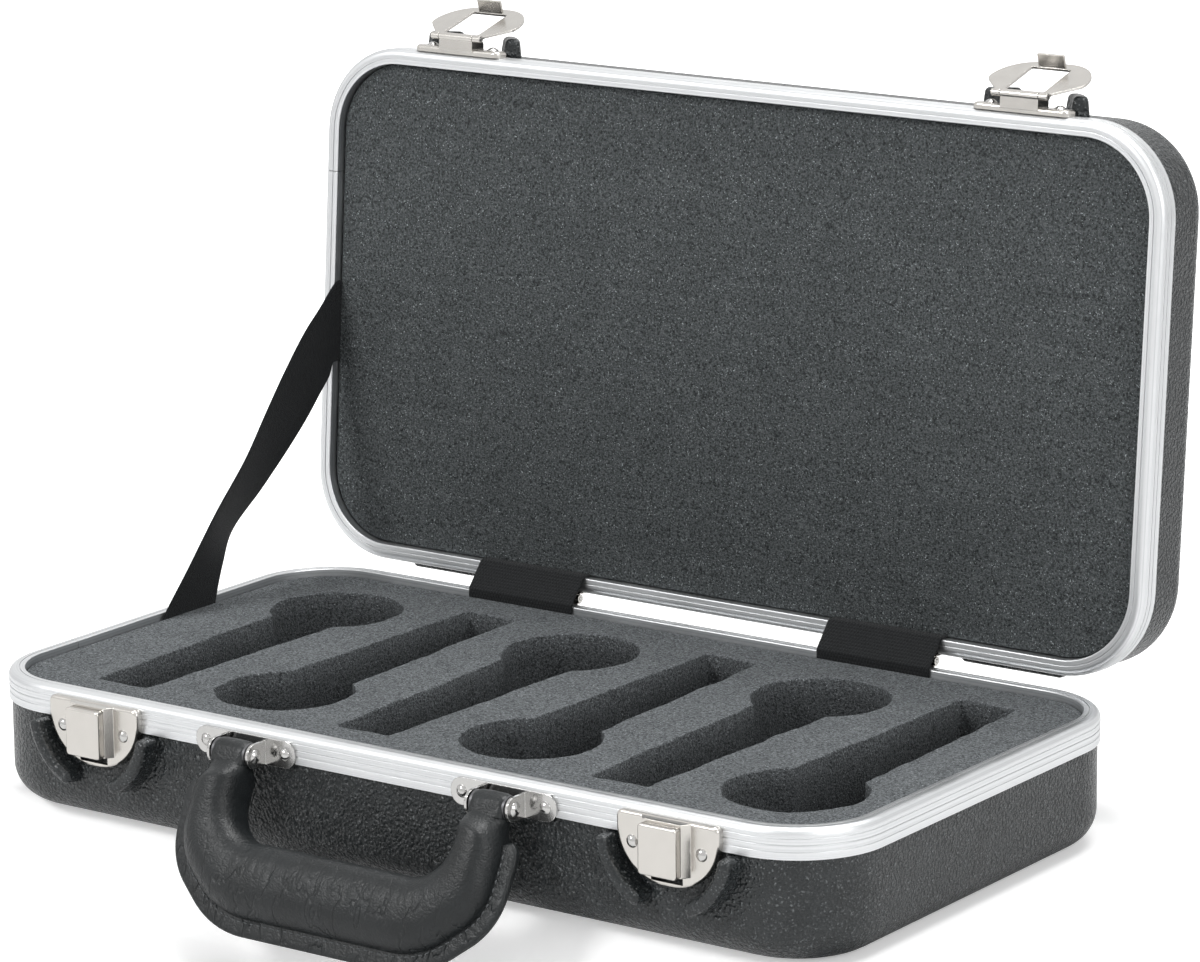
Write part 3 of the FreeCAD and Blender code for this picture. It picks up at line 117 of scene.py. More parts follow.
class Nodes:
    """Adds nodes to a material and links them."""

    def __init__(self, name):
        self.material = bpy.data.materials.new(name)
        self.material.use_nodes = True
        self.tree = self.material.node_tree
        self.shader = self.tree.nodes["Principled BSDF"]

    def add(self, kind, **settings):
        node = self.tree.nodes.new(kind)
        inputs = settings.pop("inputs", {})
        for key, value in settings.items():
            setattr(node, key, value)
        for key, value in inputs.items():
            self.feed(node.inputs[key], value)
        return node

    def feed(self, socket, value):
        if isinstance(value, bpy.types.NodeSocket):
            self.tree.links.new(value, socket)
        else:
            socket.default_value = value

    def maths(self, operation, a, b=0.0):
        node = self.add("ShaderNodeMath", operation=operation, inputs={0: a, 1: b})
        return node.outputs[0]

    def places(self):
        return self.add("ShaderNodeTexCoord").outputs["Object"]

    def vector(self, operation, a, b=None, scale=None):
        node = self.add("ShaderNodeVectorMath", operation=operation, inputs={0: a})
        if b is not None:
            self.feed(node.inputs[1], b)
        if scale is not None:
            self.feed(node.inputs["Scale"], scale)
        return node.outputs[0]

    def part(self, vector, index):
        """One part of a vector: 0 for x, 1 for y, 2 for z."""
        return self.add("ShaderNodeSeparateXYZ", inputs={"Vector": vector}).outputs[index]

    def noise(self, where, scale, detail, roughness=0.5):
        node = self.add("ShaderNodeTexNoise", inputs={
            "Vector": where, "Scale": scale, "Detail": detail, "Roughness": roughness})
        return node.outputs["Fac"]

    def cells(self, where, scale, feature="F1"):
        node = self.add("ShaderNodeTexVoronoi", feature=feature, inputs={"Vector": where, "Scale": scale})
        return node.outputs["Distance"]

    def mix(self, factor, a, b):
        node = self.add("ShaderNodeMix", data_type="RGBA")
        for socket, value in ((node.inputs[0], factor), (node.inputs[6], a), (node.inputs[7], b)):
            value = (*value, 1) if isinstance(value, tuple) and len(value) == 3 else value
            self.feed(socket, value)
        return node.outputs[2]

    def spread(self, factor, low, high, to_low, to_high):
        node = self.add("ShaderNodeMapRange", inputs={
            "Value": factor, "From Min": low, "From Max": high, "To Min": to_low, "To Max": to_high})
        return node.outputs[0]

    def bump(self, height, distance, strength, normal=None):
        node = self.add("ShaderNodeBump", inputs={
            "Height": height, "Distance": distance, "Strength": strength})
        if normal is not None:
            self.feed(node.inputs["Normal"], normal)
        return node.outputs["Normal"]

    def soft_edges(self, radius):
        return self.add("ShaderNodeBevel", samples=6, inputs={"Radius": radius}).outputs["Normal"]

    def finish(self, **inputs):
        """Feeds the shader's sockets, named with underscores, and gives the material."""
        for key, value in inputs.items():
            name = key.replace("_", " ")
            if isinstance(value, tuple) and len(value) == 3:
                value = (*value, 1)
            self.feed(self.shader.inputs[name], value)
        return self.material


def shell_plastic(name, on_lid):
    """Black moulded plastic with a pebbled grain, which is fainter on the guards and feet, and painted
    highlights as pale specks on the pebble crests.
    """
    n = Nodes(name)
    where = n.places()
    from_middle = n.maths("ABSOLUTE", n.part(shut_places(n, on_lid), 1))
    proud = n.spread(from_middle, CASE_DEPTH / 2 + 1 * MM, CASE_DEPTH / 2 + 4 * MM, 0.0, 1.0)
    drift = n.add("ShaderNodeTexNoise", inputs={"Vector": where, "Scale": 260.0, "Detail": 2.0})
    warped = n.vector("ADD", where, n.vector("SCALE", drift.outputs["Color"], scale=0.0016))
    pebbles = n.cells(warped, 780.0, "SMOOTH_F1")
    fine = n.noise(where, 1100.0, 2.0)
    height = n.maths("ADD", n.maths("MULTIPLY", pebbles, -1.0), n.maths("MULTIPLY", fine, 0.45))
    mottle = n.noise(where, 90.0, 4.0)
    colour = n.mix(n.spread(mottle, 0.35, 0.7, 0.0, 1.0), (0.013, 0.0155, 0.0165), (0.021, 0.0245, 0.026))
    # Painted highlight: pale specks in the colour on the pebble crests stand in for glints of the lamps
    # on the grain.
    crest = n.spread(pebbles, 0.12, 0.32, 1.0, 0.0)
    painted_glint = n.maths("MULTIPLY", crest, n.spread(fine, 0.46, 0.56, 0.0, 1.0))
    colour = n.mix(painted_glint, colour, (0.15, 0.162, 0.167))
    return n.finish(
        Base_Color=colour,
        Roughness=n.spread(fine, 0.35, 0.65, 0.20, 0.34),
        Normal=n.bump(height, 0.0010, n.spread(proud, 0.0, 1.0, 1.0, 0.35)),
        Specular_IOR_Level=0.36)


def inset_nodes(n, where):
    """How far a point lies inside the case's rounded outline."""
    x = n.maths("ABSOLUTE", n.part(where, 0))
    y = n.maths("ABSOLUTE", n.part(where, 1))
    x = n.maths("MAXIMUM", n.maths("SUBTRACT", x, CASE_LENGTH / 2 - CORNER), 0.0)
    y = n.maths("MAXIMUM", n.maths("SUBTRACT", y, CASE_DEPTH / 2 - CORNER), 0.0)
    far = n.maths("SQRT", n.maths("ADD", n.maths("MULTIPLY", x, x), n.maths("MULTIPLY", y, y)))
    return n.maths("SUBTRACT", CORNER, far)


def shut_places(n, on_lid):
    """Object coordinates, turned back to the shut lid's where the piece is on the lid."""
    where = n.places()
    if not on_lid:
        return where
    node = n.add("ShaderNodeVectorRotate", rotation_type="X_AXIS", inputs={
        "Vector": where, "Center": tuple(HINGE), "Angle": LID_OPEN})
    return node.outputs[0]


def satin_aluminium(name, on_lid):
    """Extruded aluminium with drawn lines that run round the case."""
    n = Nodes(name)
    where = shut_places(n, on_lid)
    across = n.add("ShaderNodeCombineXYZ", inputs={
        0: inset_nodes(n, where), 1: n.part(where, 2), 2: 0.0}).outputs[0]
    lines = n.noise(across, 5200.0, 2.0, 0.6)
    wide_lines = n.noise(across, 1300.0, 1.0)
    dull = n.noise(where, 35.0, 3.0)
    tone = n.mix(n.spread(wide_lines, 0.35, 0.65, 0.0, 1.0), (0.57, 0.58, 0.59), (0.69, 0.70, 0.71))
    rough = n.maths("ADD", n.spread(lines, 0.3, 0.7, 0.34, 0.44), n.spread(dull, 0.3, 0.7, -0.03, 0.04))
    height = n.maths("ADD", lines, n.maths("MULTIPLY", wide_lines, 1.4))
    return n.finish(
        Base_Color=tone,
        Metallic=1.0,
        Roughness=rough,
        Normal=n.bump(height, 0.00001, 0.5, n.soft_edges(0.0002)))


def nickel(name, tone, rough):
    """Nickel-plated pressed steel."""
    n = Nodes(name)
    where = n.places()
    cloudy = n.noise(where, 160.0, 3.0)
    fine = n.noise(where, 1800.0, 2.0)
    darker = tuple(0.95 * part for part in tone)
    colour = n.mix(n.spread(cloudy, 0.3, 0.7, 0.0, 1.0), darker, tone)
    return n.finish(
        Base_Color=colour,
        Metallic=1.0,
        Roughness=n.spread(cloudy, 0.3, 0.7, rough - 0.02, rough + 0.03),
        Normal=n.bump(fine, 0.00002, 0.5, n.soft_edges(0.00035)))


def foam(name, dark, light, cell_scale, sparkle, shade_from=None):
    """Open foam: fine cells, a faint mottle and bright specks of painted sparkle, and painted shade on
    the pocket walls below a level.
    """
    n = Nodes(name)
    where = n.places()
    cells = n.cells(where, cell_scale)
    grain = n.noise(where, cell_scale * 0.8, 3.0, 0.7)
    mottle = n.noise(where, 45.0, 4.0)
    colour = n.mix(n.spread(grain, 0.34, 0.68, 0.0, 1.0), dark, light)
    mottle_and_painted_shade = n.spread(mottle, 0.3, 0.7, 0.93, 1.06)
    if shade_from is not None:
        # Painted shade: the pocket walls grow darker with depth below the level, standing in for the
        # shade inside the pockets.
        painted_pocket_shade = n.spread(n.part(where, 2), shade_from - 9 * MM, shade_from - 1 * MM, 0.62, 1.0)
        mottle_and_painted_shade = n.maths("MULTIPLY", mottle_and_painted_shade, painted_pocket_shade)
    # Painted highlight: bright specks, lighter than the light tone by the sparkle factor, stand in for
    # sparkle on the foam.
    painted_sparkle = n.spread(n.noise(where, cell_scale * 1.1, 1.0), 0.68, 0.73, 0.0, 1.0)
    colour = n.mix(painted_sparkle, colour, tuple(min(1.0, part * sparkle) for part in light))
    hue = n.add("ShaderNodeHueSaturation", inputs={"Color": colour, "Value": mottle_and_painted_shade}).outputs[0]
    height = n.maths("ADD", cells, n.maths("MULTIPLY", grain, 1.5))
    return n.finish(
        Base_Color=hue,
        Roughness=0.96,
        Specular_IOR_Level=0.08,
        Normal=n.bump(height, 0.0006, 0.8))


def woven(name, along_scale):
    """Black webbing, whose ribs are in the mesh."""
    n = Nodes(name)
    where = n.places()
    threads = n.noise(where, along_scale, 3.0, 0.7)
    colour = n.mix(n.spread(threads, 0.35, 0.7, 0.0, 1.0), (0.003, 0.0033, 0.0036), (0.022, 0.024, 0.026))
    return n.finish(
        Base_Color=colour,
        Roughness=0.7,
        Sheen_Weight=0.08,
        Specular_IOR_Level=0.15,
        Normal=n.bump(threads, 0.0004, 0.8))


def grained_cover():
    """Dark leather-look cover with a small grain, wrinkled across its lower part."""
    n = Nodes("grained_cover")
    where = n.places()
    grain = n.cells(where, 1300.0, "SMOOTH_F1")
    small = n.noise(where, 420.0, 4.0, 0.6)
    drawn = n.vector("MULTIPLY", where, (1.0, 0.45, 0.45))
    wrinkles = n.maths("ABSOLUTE", n.maths("SUBTRACT", n.noise(drawn, 120.0, 2.0, 0.55), 0.5))
    low_down = n.spread(n.part(where, 2), PIVOT.z - 42 * MM, PIVOT.z - 26 * MM, 1.0, 0.0)
    folds = n.maths("MULTIPLY", n.spread(wrinkles, 0.0, 0.03, 0.0, 1.0), low_down)
    wrinkled = n.bump(folds, 0.0006, 0.6)
    height = n.maths("ADD", n.maths("MULTIPLY", grain, -0.6), small)
    patches = n.noise(where, 60.0, 4.0)
    colour = n.mix(n.spread(patches, 0.3, 0.7, 0.0, 1.0), (0.007, 0.0084, 0.009), (0.013, 0.0152, 0.0163))
    return n.finish(
        Base_Color=colour,
        Roughness=n.spread(small, 0.3, 0.7, 0.34, 0.50),
        Specular_IOR_Level=0.32,
        Normal=n.bump(height, 0.00035, 0.7, wrinkled))


def thread():
    """Dark twisted sewing thread."""
    n = Nodes("stitch_thread")
    twist = n.noise(n.places(), 3000.0, 2.0)
    colour = n.mix(twist, (0.03, 0.033, 0.035), (0.10, 0.107, 0.112))
    return n.finish(Base_Color=colour, Roughness=0.6, Normal=n.bump(twist, 0.0001, 0.6))


# Mesh helpers

def new_piece(name, mesh, material, sharp=None):
    """A piece of the object. Sharp is the angle in degrees past which an edge stays sharp."""
    piece = bpy.data.objects.new(name, mesh)
    bpy.context.scene.collection.objects.link(piece)
    mesh.materials.append(material)
    mesh.polygons.foreach_set("use_smooth", [True] * len(mesh.polygons))
    if sharp is not None:
        mesh.set_sharp_from_angle(angle=math.radians(sharp))
    return piece


def grid(name, rings):
    """A solid through rings of points, closed at both ends."""
    width = len(rings[0])
    points = [point for ring in rings for point in ring]
    faces = []
    for i in range(len(rings) - 1):
        for j in range(width):
            a, b = i * width + j, i * width + (j + 1) % width
            faces.append((a, b, b + width, a + width))
    last = (len(rings) - 1) * width
    faces.append(tuple(reversed(range(width))))
    faces.append(tuple(range(last, last + width)))
    mesh = bpy.data.meshes.new(name)
    mesh.from_pydata(points, [], faces)
    mesh.validate()
    clean = bmesh.new()
    clean.from_mesh(mesh)
    bmesh.ops.recalc_face_normals(clean, faces=clean.faces)
    clean.to_mesh(mesh)
    clean.free()
    return mesh


def divided_open(points, step):
    """An open line with points no further apart than a step."""
    result = []
    for a, b in zip(points, points[1:]):
        count = max(1, math.ceil((b - a).length / step))
        result.extend(a.lerp(b, i / count) for i in range(count))
    return result + [points[-1]]


def divided(points, step):
    """A closed line with points no further apart than a step."""
    return divided_open(points + points[:1], step)[:-1]


def line_length(points):
    """The length of an open line."""
    return sum((b - a).length for a, b in zip(points, points[1:]))


def evenly(points, count):
    """An open line as a number of even steps."""
    lengths = [0.0]
    for a, b in zip(points, points[1:]):
        lengths.append(lengths[-1] + (b - a).length)
    result, i = [], 0
    for k in range(count + 1):
        target = lengths[-1] * k / count
        while i < len(points) - 2 and lengths[i + 1] < target:
            i += 1
        share = (target - lengths[i]) / max(1e-12, lengths[i + 1] - lengths[i])
        result.append(points[i].lerp(points[i + 1], min(1.0, share)))
    return result


def spaced(points, step):
    """An open line in even steps, none longer than the step given."""
    return evenly(points, max(2, math.ceil(line_length(points) / step)))


def rounded_outline(inset):
    """Points of the case's outline drawn in by a distance, from above, anticlockwise."""
    half_length, half_depth, corner = CASE_LENGTH / 2 - inset, CASE_DEPTH / 2 - inset, CORNER - inset
    points = []
    turns = max(6, round(corner * math.pi / 2 / CASE_STEP))
    for quarter, (sx, sy) in enumerate(((1, 1), (-1, 1), (-1, -1), (1, -1))):
        centre = Vector((sx * (half_length - corner), sy * (half_depth - corner)))
        for i in range(turns + 1):
            angle = math.pi / 2 * (quarter + i / turns)
            points.append(centre + Vector((math.cos(angle), math.sin(angle))) * corner)
    return divided(points, CASE_STEP)


def slab(name, loops, low, high, bevel):
    """A flat piece between two heights from an outline and its holes, with its edges eased."""
    curve = bpy.data.curves.new(name, "CURVE")
    curve.dimensions = "2D"
    curve.fill_mode = "BOTH"
    curve.extrude = (high - low) / 2 - bevel
    curve.bevel_depth = bevel
    curve.bevel_resolution = 2
    curve.offset = -bevel
    for loop in loops:
        spline = curve.splines.new("POLY")
        spline.points.add(len(loop) - 1)
        for point, place in zip(spline.points, loop):
            point.co = (place.x, place.y, 0, 1)
        spline.use_cyclic_u = True
    source = bpy.data.objects.new(f"{name}_curve", curve)
    mesh = bpy.data.meshes.new_from_object(source)
    bpy.data.objects.remove(source)
    mesh.name = name
    mesh.transform(Matrix.Translation((0, 0, (low + high) / 2)))
    return mesh


def block(name, levels):
    """A solid through the case's outline, from pairs of inset and height."""
    count = len(rounded_outline(FOAM_INSET))
    rows = []
    for inset, height in levels:
        outline = rounded_outline(inset)
        if len(outline) != count:
            outline = evenly(outline + outline[:1], count)[:-1]
        rows.append([Vector((point.x, point.y, height)) for point in outline])
    return grid(name, rows)


def quarter_turn(inset, height, radius, into, steps=8):
    """Pairs of inset and height round an edge, from the face to the side."""
    pairs = []
    for i in range(steps + 1):
        angle = math.pi / 2 * i / steps
        drawn_in = inset + radius * (1 - math.sin(angle))
        pairs.append((drawn_in, height + into * radius * (1 - math.cos(angle))))
    return pairs


def smooth_through(points, steps):
    """A smooth open line that passes through all of its points."""
    result = []
    last = len(points) - 1
    for i in range(last):
        before, after = points[max(i - 1, 0)], points[min(i + 2, last)]
        a, b = points[i], points[i + 1]
        for k in range(steps):
            t = k / steps
            result.append((a * 2 + (b - before) * t + (before * 2 - a * 5 + b * 4 - after) * t ** 2
                           + (a * 3 - before - b * 3 + after) * t ** 3) / 2)
    return result + [points[-1]]


def soft_share(value, start, reach):
    """How far a value has come from a start over a reach, from 0 to 1 with soft ends."""
    share = min(1.0, max(0.0, (value - start) / reach))
    return share * share * (3 - 2 * share)


def eased(points, rounds):
    """An open line with its corners cut off again and again."""
    for _ in range(rounds):
        result = [points[0]]
        for a, b in zip(points, points[1:]):
            result.extend((a.lerp(b, 0.25), a.lerp(b, 0.75)))
        result.append(points[-1])
        points = result
    return points


def rippled(point, reach, scale, seed):
    """A point moved in the plane by smooth noise."""
    at = Vector((point.x * scale, point.y * scale, seed))
    push = Vector((noise.noise(at), noise.noise(at + Vector((31.7, 12.1, 5.3)))))
    return point + push * reach


# Foam in the base and the lid. The microphone pockets are cut by hand, so their lines waver.
FOAM_LOW, FOAM_HIGH = 11.1 * MM, 51.6 * MM
FOAM_EDGE = 0.6 * MM
PAD_LOW = 3.1 * MM
PAD_EDGE = 8 * MM
PAD_GAP = 0.05 * MM
LID_FOAM_FACE = LID_RIM + 4 * MM
LID_FOAM_BACK = LID_RIM + 35.4 * MM
LID_FACE_EDGE = 1.2 * MM
LID_BACK_EDGE = 4 * MM
POCKETS = 6
POCKET_PITCH = 62.2 * MM
POCKET_SHIFT = 3.5 * MM
HEAD_RADIUS = 28.5 * MM
HEAD_Y = 56 * MM
TAIL_Y = 84.5 * MM
TAIL_HALF = 13.25 * MM
NECK_HALF = 16.5 * MM
TAIL_CORNER = 2 * MM
HEAD_STEPS = 40
POCKET_STEP = 1.2 * MM
# The long and the short waver of the cut: reach, turns in a metre and change from pocket to pocket
WAVERS = ((1.1 * MM, 75.0, 3.1), (0.45 * MM, 260.0, 1.7))


def pocket_outline(index):
    """One pocket seen from above: a channel that widens into a round head."""
    way = 1 if index % 2 == 0 else -1
    tail = -(HEAD_Y + TAIL_Y)
    neck = -math.sqrt(HEAD_RADIUS ** 2 - NECK_HALF ** 2)
    side = [Vector((TAIL_HALF - TAIL_CORNER, tail)),
            Vector((TAIL_HALF - TAIL_CORNER * 0.3, tail + TAIL_CORNER * 0.3)),
            Vector((TAIL_HALF, tail + TAIL_CORNER))]
    first = math.atan2(neck, NECK_HALF)
    for i in range(HEAD_STEPS + 1):
        angle = first + (math.pi / 2 - first) * i / HEAD_STEPS
        side.append(Vector((math.cos(angle), math.sin(angle))) * HEAD_RADIUS)
    loop = side + [Vector((-point.x, point.y)) for point in reversed(side[:-1])]
    loop = divided(loop, POCKET_STEP)
    centre = Vector((POCKET_PITCH * (index - (POCKETS - 1) / 2) + POCKET_SHIFT, HEAD_Y * way))
    placed = [Vector((centre.x + point.x, centre.y + point.y * way)) for point in loop]
    for reach, scale, change in WAVERS:
        placed = [rippled(point, reach, scale, index * change) for point in placed]
    return placed


def add_foam():
    """The pocketed insert on its pad in the base, and the lid's lining."""
    # The base foam gets painted shade in its pockets below the foam's top.
    base_foam = foam("base_foam_look", dark=(0.036, 0.039, 0.041), light=(0.195, 0.208, 0.217),
                     cell_scale=1300.0, sparkle=1.8, shade_from=FOAM_HIGH)
    lid_foam = foam("lid_foam_look", dark=(0.022, 0.0245, 0.0255), light=(0.145, 0.158, 0.162),
                    cell_scale=1300.0, sparkle=2.6)
    loops = [rounded_outline(FOAM_INSET)] + [pocket_outline(i) for i in range(POCKETS)]
    mesh = slab("foam_insert", loops, FOAM_LOW, FOAM_HIGH, FOAM_EDGE)
    upper = new_piece("foam_insert", mesh, base_foam, 40)
    levels = quarter_turn(FOAM_INSET, PAD_LOW, PAD_EDGE, 1) + [(FOAM_INSET, FOAM_LOW - PAD_GAP)]
    pad = new_piece("foam_pad", block("foam_pad", levels), base_foam, 50)
    levels = quarter_turn(FOAM_INSET, LID_FOAM_FACE, LID_FACE_EDGE, 1, 5)
    levels += list(reversed(quarter_turn(FOAM_INSET, LID_FOAM_BACK, LID_BACK_EDGE, -1)))
    mesh = block("lid_foam_lining", levels)
    mesh.transform(OPENED)
    lining = new_piece("lid_foam_lining", mesh, lid_foam, 50)
    for piece, body, node in ((upper, "base", "base_foam"), (pad, "base", "base_foam_pad"),
                              (lining, "lid", "lid_foam")):
        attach(piece, body)
        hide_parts(node)


# Webbing over the hinges. It is tucked in between the foam and the rims, and crosses both rims.
# Heights in the lid are those of the shut lid.
HINGE_X = 90 * MM
WEB_WIDTH = 55 * MM
WEB_THICK = 0.7 * MM
WEB_RIB = 1.5 * MM
WEB_RIB_HEIGHT = 0.24 * MM
WEB_STEP = 0.25 * MM
WEB_COLUMNS = 220
# The weave's swing as a share of a rib's height, and its phase across the width in radians
WEB_WEAVE = 0.45
WEB_WEAVE_SPAN = 230
WEB_SLOT_Y = 105.05 * MM
WEB_BASE_END = 48.6 * MM
WEB_BASE_TOP = 55.35 * MM
WEB_LID_TOP = 54.15 * MM
WEB_LID_END = 60.9 * MM


def from_lid(y, z):
    """Where a point of the shut lid lies in the open lid, seen from the side."""
    return OPENED @ Vector((0, y, z))


def strip(name, left, right, thick, columns, rise):
    """A strip between two lines of points. Rise gives its lift at a distance and a share across."""
    rows = []
    last = len(left) - 1
    gone = 0.0
    for i in range(last + 1):
        before, after = max(i - 1, 0), min(i + 1, last)
        ahead = left[after] + right[after] - left[before] - right[before]
        normal = ahead.cross(right[i] - left[i]).normalized()
        gone += (left[i] + right[i] - left[before] - right[before]).length / 2
        top, under = [], []
        for j in range(columns + 1):
            share = j / columns
            edge = min(1.0, min(share, 1 - share) * columns / 2)
            lift = thick / 2 * (0.35 + 0.65 * edge) + rise(gone, share) * edge
            place = left[i].lerp(right[i], share)
            top.append(place + normal * lift)
            under.append(place - normal * lift)
        rows.append(top + list(reversed(under)))
    return grid(name, rows)


def swell(phase):
    """The rounded back of one rib."""
    return math.sqrt(max(0.0, 1 - (2 * (phase % 1.0) - 1) ** 2))


def web_ribs(gone, share):
    """Ribs across the hinge webbing, with its threads crossing them."""
    weave = WEB_WEAVE * math.sin(share * WEB_WEAVE_SPAN + math.pi * math.floor(gone / WEB_RIB))
    return WEB_RIB_HEIGHT * (swell(gone / WEB_RIB) + weave)


def add_webbing(side, sign, cloth):
    """One strip of webbing, from its tuck in the base to its tuck in the lid."""
    low, high = Vector((0, WEB_SLOT_Y, WEB_BASE_TOP)), from_lid(WEB_SLOT_Y, WEB_LID_TOP)
    corners = [Vector((0, WEB_SLOT_Y, WEB_BASE_END)), low, high, from_lid(WEB_SLOT_Y, WEB_LID_END)]
    path = spaced(eased(divided_open(corners, 2 * MM), 3), WEB_STEP)
    left, right = [[Vector((sign * HINGE_X + step * WEB_WIDTH / 2, point.y, point.z)) for point in path]
                   for step in (-1, 1)]
    mesh = strip(f"hinge_webbing_{side}", left, right, WEB_THICK, WEB_COLUMNS, web_ribs)
    piece = new_piece(mesh.name, mesh, cloth)
    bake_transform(piece)
    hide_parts(f"webbing_{side}")


# Stay strap, tucked in between the foam and the rims at the left
STRAP_X = -202.55 * MM
STRAP_WIDTH = 27 * MM
STRAP_THICK = 0.7 * MM
STRAP_SLOT = 35.5 * MM
STRAP_TUCK = 6.5 * MM
STRAP_BASE_Y = 18.0 * MM
STRAP_LID_Y = 10.75 * MM
STRAP_STEPS = 24
STRAP_COLUMNS = 130
STRAP_RIBS = 26
STRAP_RIB_HEIGHT = 0.04 * MM
STRAP_THREAD = 0.45 * MM
STRAP_THREAD_HEIGHT = 0.012 * MM

# The strap's two edges on its way up: share of the span, then distance to the side and lean
# to the right as shares of its width
STRAP_EDGE_SHARES = (
    ((0.088, -0.60, 0.11), (0.189, 0.23, -0.02)),
    ((0.261, -0.73, 0.22), (0.300, 0.22, -0.15)),
    ((0.448, -0.65, 0.19), (0.450, 0.30, -0.06)),
    ((0.604, -0.62, 0.11), (0.589, 0.37, 0.00)),
    ((0.744, -0.61, 0.06), (0.713, 0.45, 0.00)),
    ((0.886, -0.58, 0.03), (0.819, 0.47, 0.00)),
    ((0.993, -0.48, 0.00), (0.866, 0.48, 0.00)),
)


def strap_ribs(gone, share):
    """Fine ribs along the strap, with its threads crossing them."""
    threads = STRAP_THREAD_HEIGHT * math.sin(gone / STRAP_THREAD)
    return STRAP_RIB_HEIGHT * swell(share * STRAP_RIBS) + threads


def base_end(side, deep):
    """An edge of the strap in its base slot, a depth below the foam's top."""
    return Vector((STRAP_X, STRAP_BASE_Y + STRAP_SLOT / 2 * side, FOAM_HIGH - deep))


def lid_end(side, deep):
    """An edge of the strap in its lid slot, a depth behind the lid's rim."""
    end = from_lid(STRAP_LID_Y + STRAP_SLOT / 2 * side, LID_RIM + deep)
    end.x = STRAP_X
    return end


def add_stay_strap(cloth):
    """A flat strap that holds the lid, creased and leaning a little low down."""
    low, high = (base_end(-1, 0) + base_end(1, 0)) / 2, (lid_end(-1, 0) + lid_end(1, 0)) / 2
    span = high - low
    aside = Vector((0, span.z, -span.y)).normalized() * STRAP_WIDTH
    lean = Vector((STRAP_WIDTH, 0, 0))
    edges = []
    for k, side in enumerate((-1, 1)):
        line = [base_end(side, STRAP_TUCK), base_end(side, 0)]
        for pair in STRAP_EDGE_SHARES:
            up, over, out = pair[k]
            line.append(low + span * up + aside * over + lean * out)
        line += [lid_end(side, 0), lid_end(side, STRAP_TUCK)]
        edges.append(smooth_through(line, STRAP_STEPS))
    mesh = strip("lid_stay_strap", *edges, STRAP_THICK, STRAP_COLUMNS, strap_ribs)
    piece = new_piece(mesh.name, mesh, cloth)
    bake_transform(piece)
    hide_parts("stay_strap")


# Handle grip and welt in millimetres, drawn hanging straight down from the pins: distance from the
# middle, depth below the pins and, where a corner is rounded, its radius
GRIP_OUTER = ((72.1, 4), (72.1, 9, 6), (77, 16, 16), (76, 44, 26), (50, 66, 38), (0, 66))
GRIP_INNER = ((54.9, 4), (54, 33, 17), (0, 33))
# Where the leg and the turn of each outline end, and the steps along the leg, the turn and the floor
OUTER_SPLITS = ((76.4, 27), (35.4, 66))
INNER_SPLITS = ((54.4, 16), (37, 33))
STRETCH_STEPS = (26, 40, 34)
OUTLINE_STEP = 0.3
FILLET_STEPS = 14
LOOP_MIDDLE = Vector((0, 20))
GRIP_THICK = 24.0
GRIP_END_THICK = 13.0
GRIP_AROUND = 64
GRIP_SQUARENESS = 2.7
# The grip swells below its ends, and is creased further down
SWELL_START = 4
SWELL_REACH = 9
CREASE_START = 38
CREASE_REACH = 10
CREASE_DEPTH = 0.34
SAG_DEPTH = 0.15
# How much thinner the grip is along its outer edge, as a share
OUTER_SLOPE = 0.16
CLOSING_ROWS = 5
SEAM_INSIDE = 2.8
WELT_START = 13.5
WELT_STEP = 0.55
WELT_OUT = 4.2
WELT_IN = 5.4
WELT_THICK = 3.6
WELT_AROUND = 28
WELT_SQUARENESS = 4.5
WELT_FADE_ROWS = 10
WELT_ROUGHNESS = 0.18
# The stitches pull the welt in: where and how widely, as shares of its width, and how deep
PULL_AT = 0.40
PULL_WIDTH = 0.07
PULL_DEPTH = 0.5
PUCKER_DEPTH = 0.3
PUCKER_PITCH = 3.2
# Stitches: their distance from the outline, then their pitch, length and margin in steps of the welt
STITCH_LINE = -1.5
STITCH_PITCH = 6
STITCH_LENGTH = 4
STITCH_MARGIN = 8
# The mesh's steps along and round one stitch
STITCH_STEPS = 6
STITCH_AROUND = 8
# Its radius at its ends, what it gains between them, how deep its ends sink in and how high it rises
STITCH_RADIUS = 0.16
STITCH_SWELL = 0.22
STITCH_SUNK = 0.30
STITCH_RISE = 0.34
# The cover's folded ends over the eyes
EYE_X = 63.5
EYE_HALF = 8.1
EYE_RADIUS = 5.6
EYE_DEPTH = 5.0
EYE_PUCKER = 0.12
EYE_ROWS = 32
EYE_AROUND = 24


def filleted(corners):
    """An open line with its inner corners rounded where they have a radius."""
    points = []
    for i, corner in enumerate(corners):
        here = Vector(corner[:2])
        if len(corner) == 2:
            points.append(here)
            continue
        back = (Vector(corners[i - 1][:2]) - here).normalized()
        ahead = (Vector(corners[i + 1][:2]) - here).normalized()
        half = back.angle(ahead) / 2
        radius = corner[2]
        centre = here + (back + ahead).normalized() * radius / math.sin(half)
        first = here + back * radius / math.tan(half) - centre
        last = here + ahead * radius / math.tan(half) - centre
        sweep = first.angle_signed(last)
        for k in range(FILLET_STEPS + 1):
            angle = -sweep * k / FILLET_STEPS
            turned = Vector((first.x * math.cos(angle) - first.y * math.sin(angle),
                             first.x * math.sin(angle) + first.y * math.cos(angle)))
            points.append(centre + turned)
    return points


def split_at(points, place):
    """Cuts an open line at its point nearest to a place."""
    nearest = min(range(len(points)), key=lambda i: (points[i] - place).length)
    return points[:nearest + 1], points[nearest:]


def both_sides(half):
    """A line from its right half, which ends in the middle."""
    return half + [Vector((-point.x, point.y)) for point in reversed(half[:-1])]


def on_handle(u, across, depth):
    """A point of the handle in the case's frame."""
    return TILTED @ Vector((u * MM, PIVOT.y + across * MM, PIVOT.z - depth * MM))


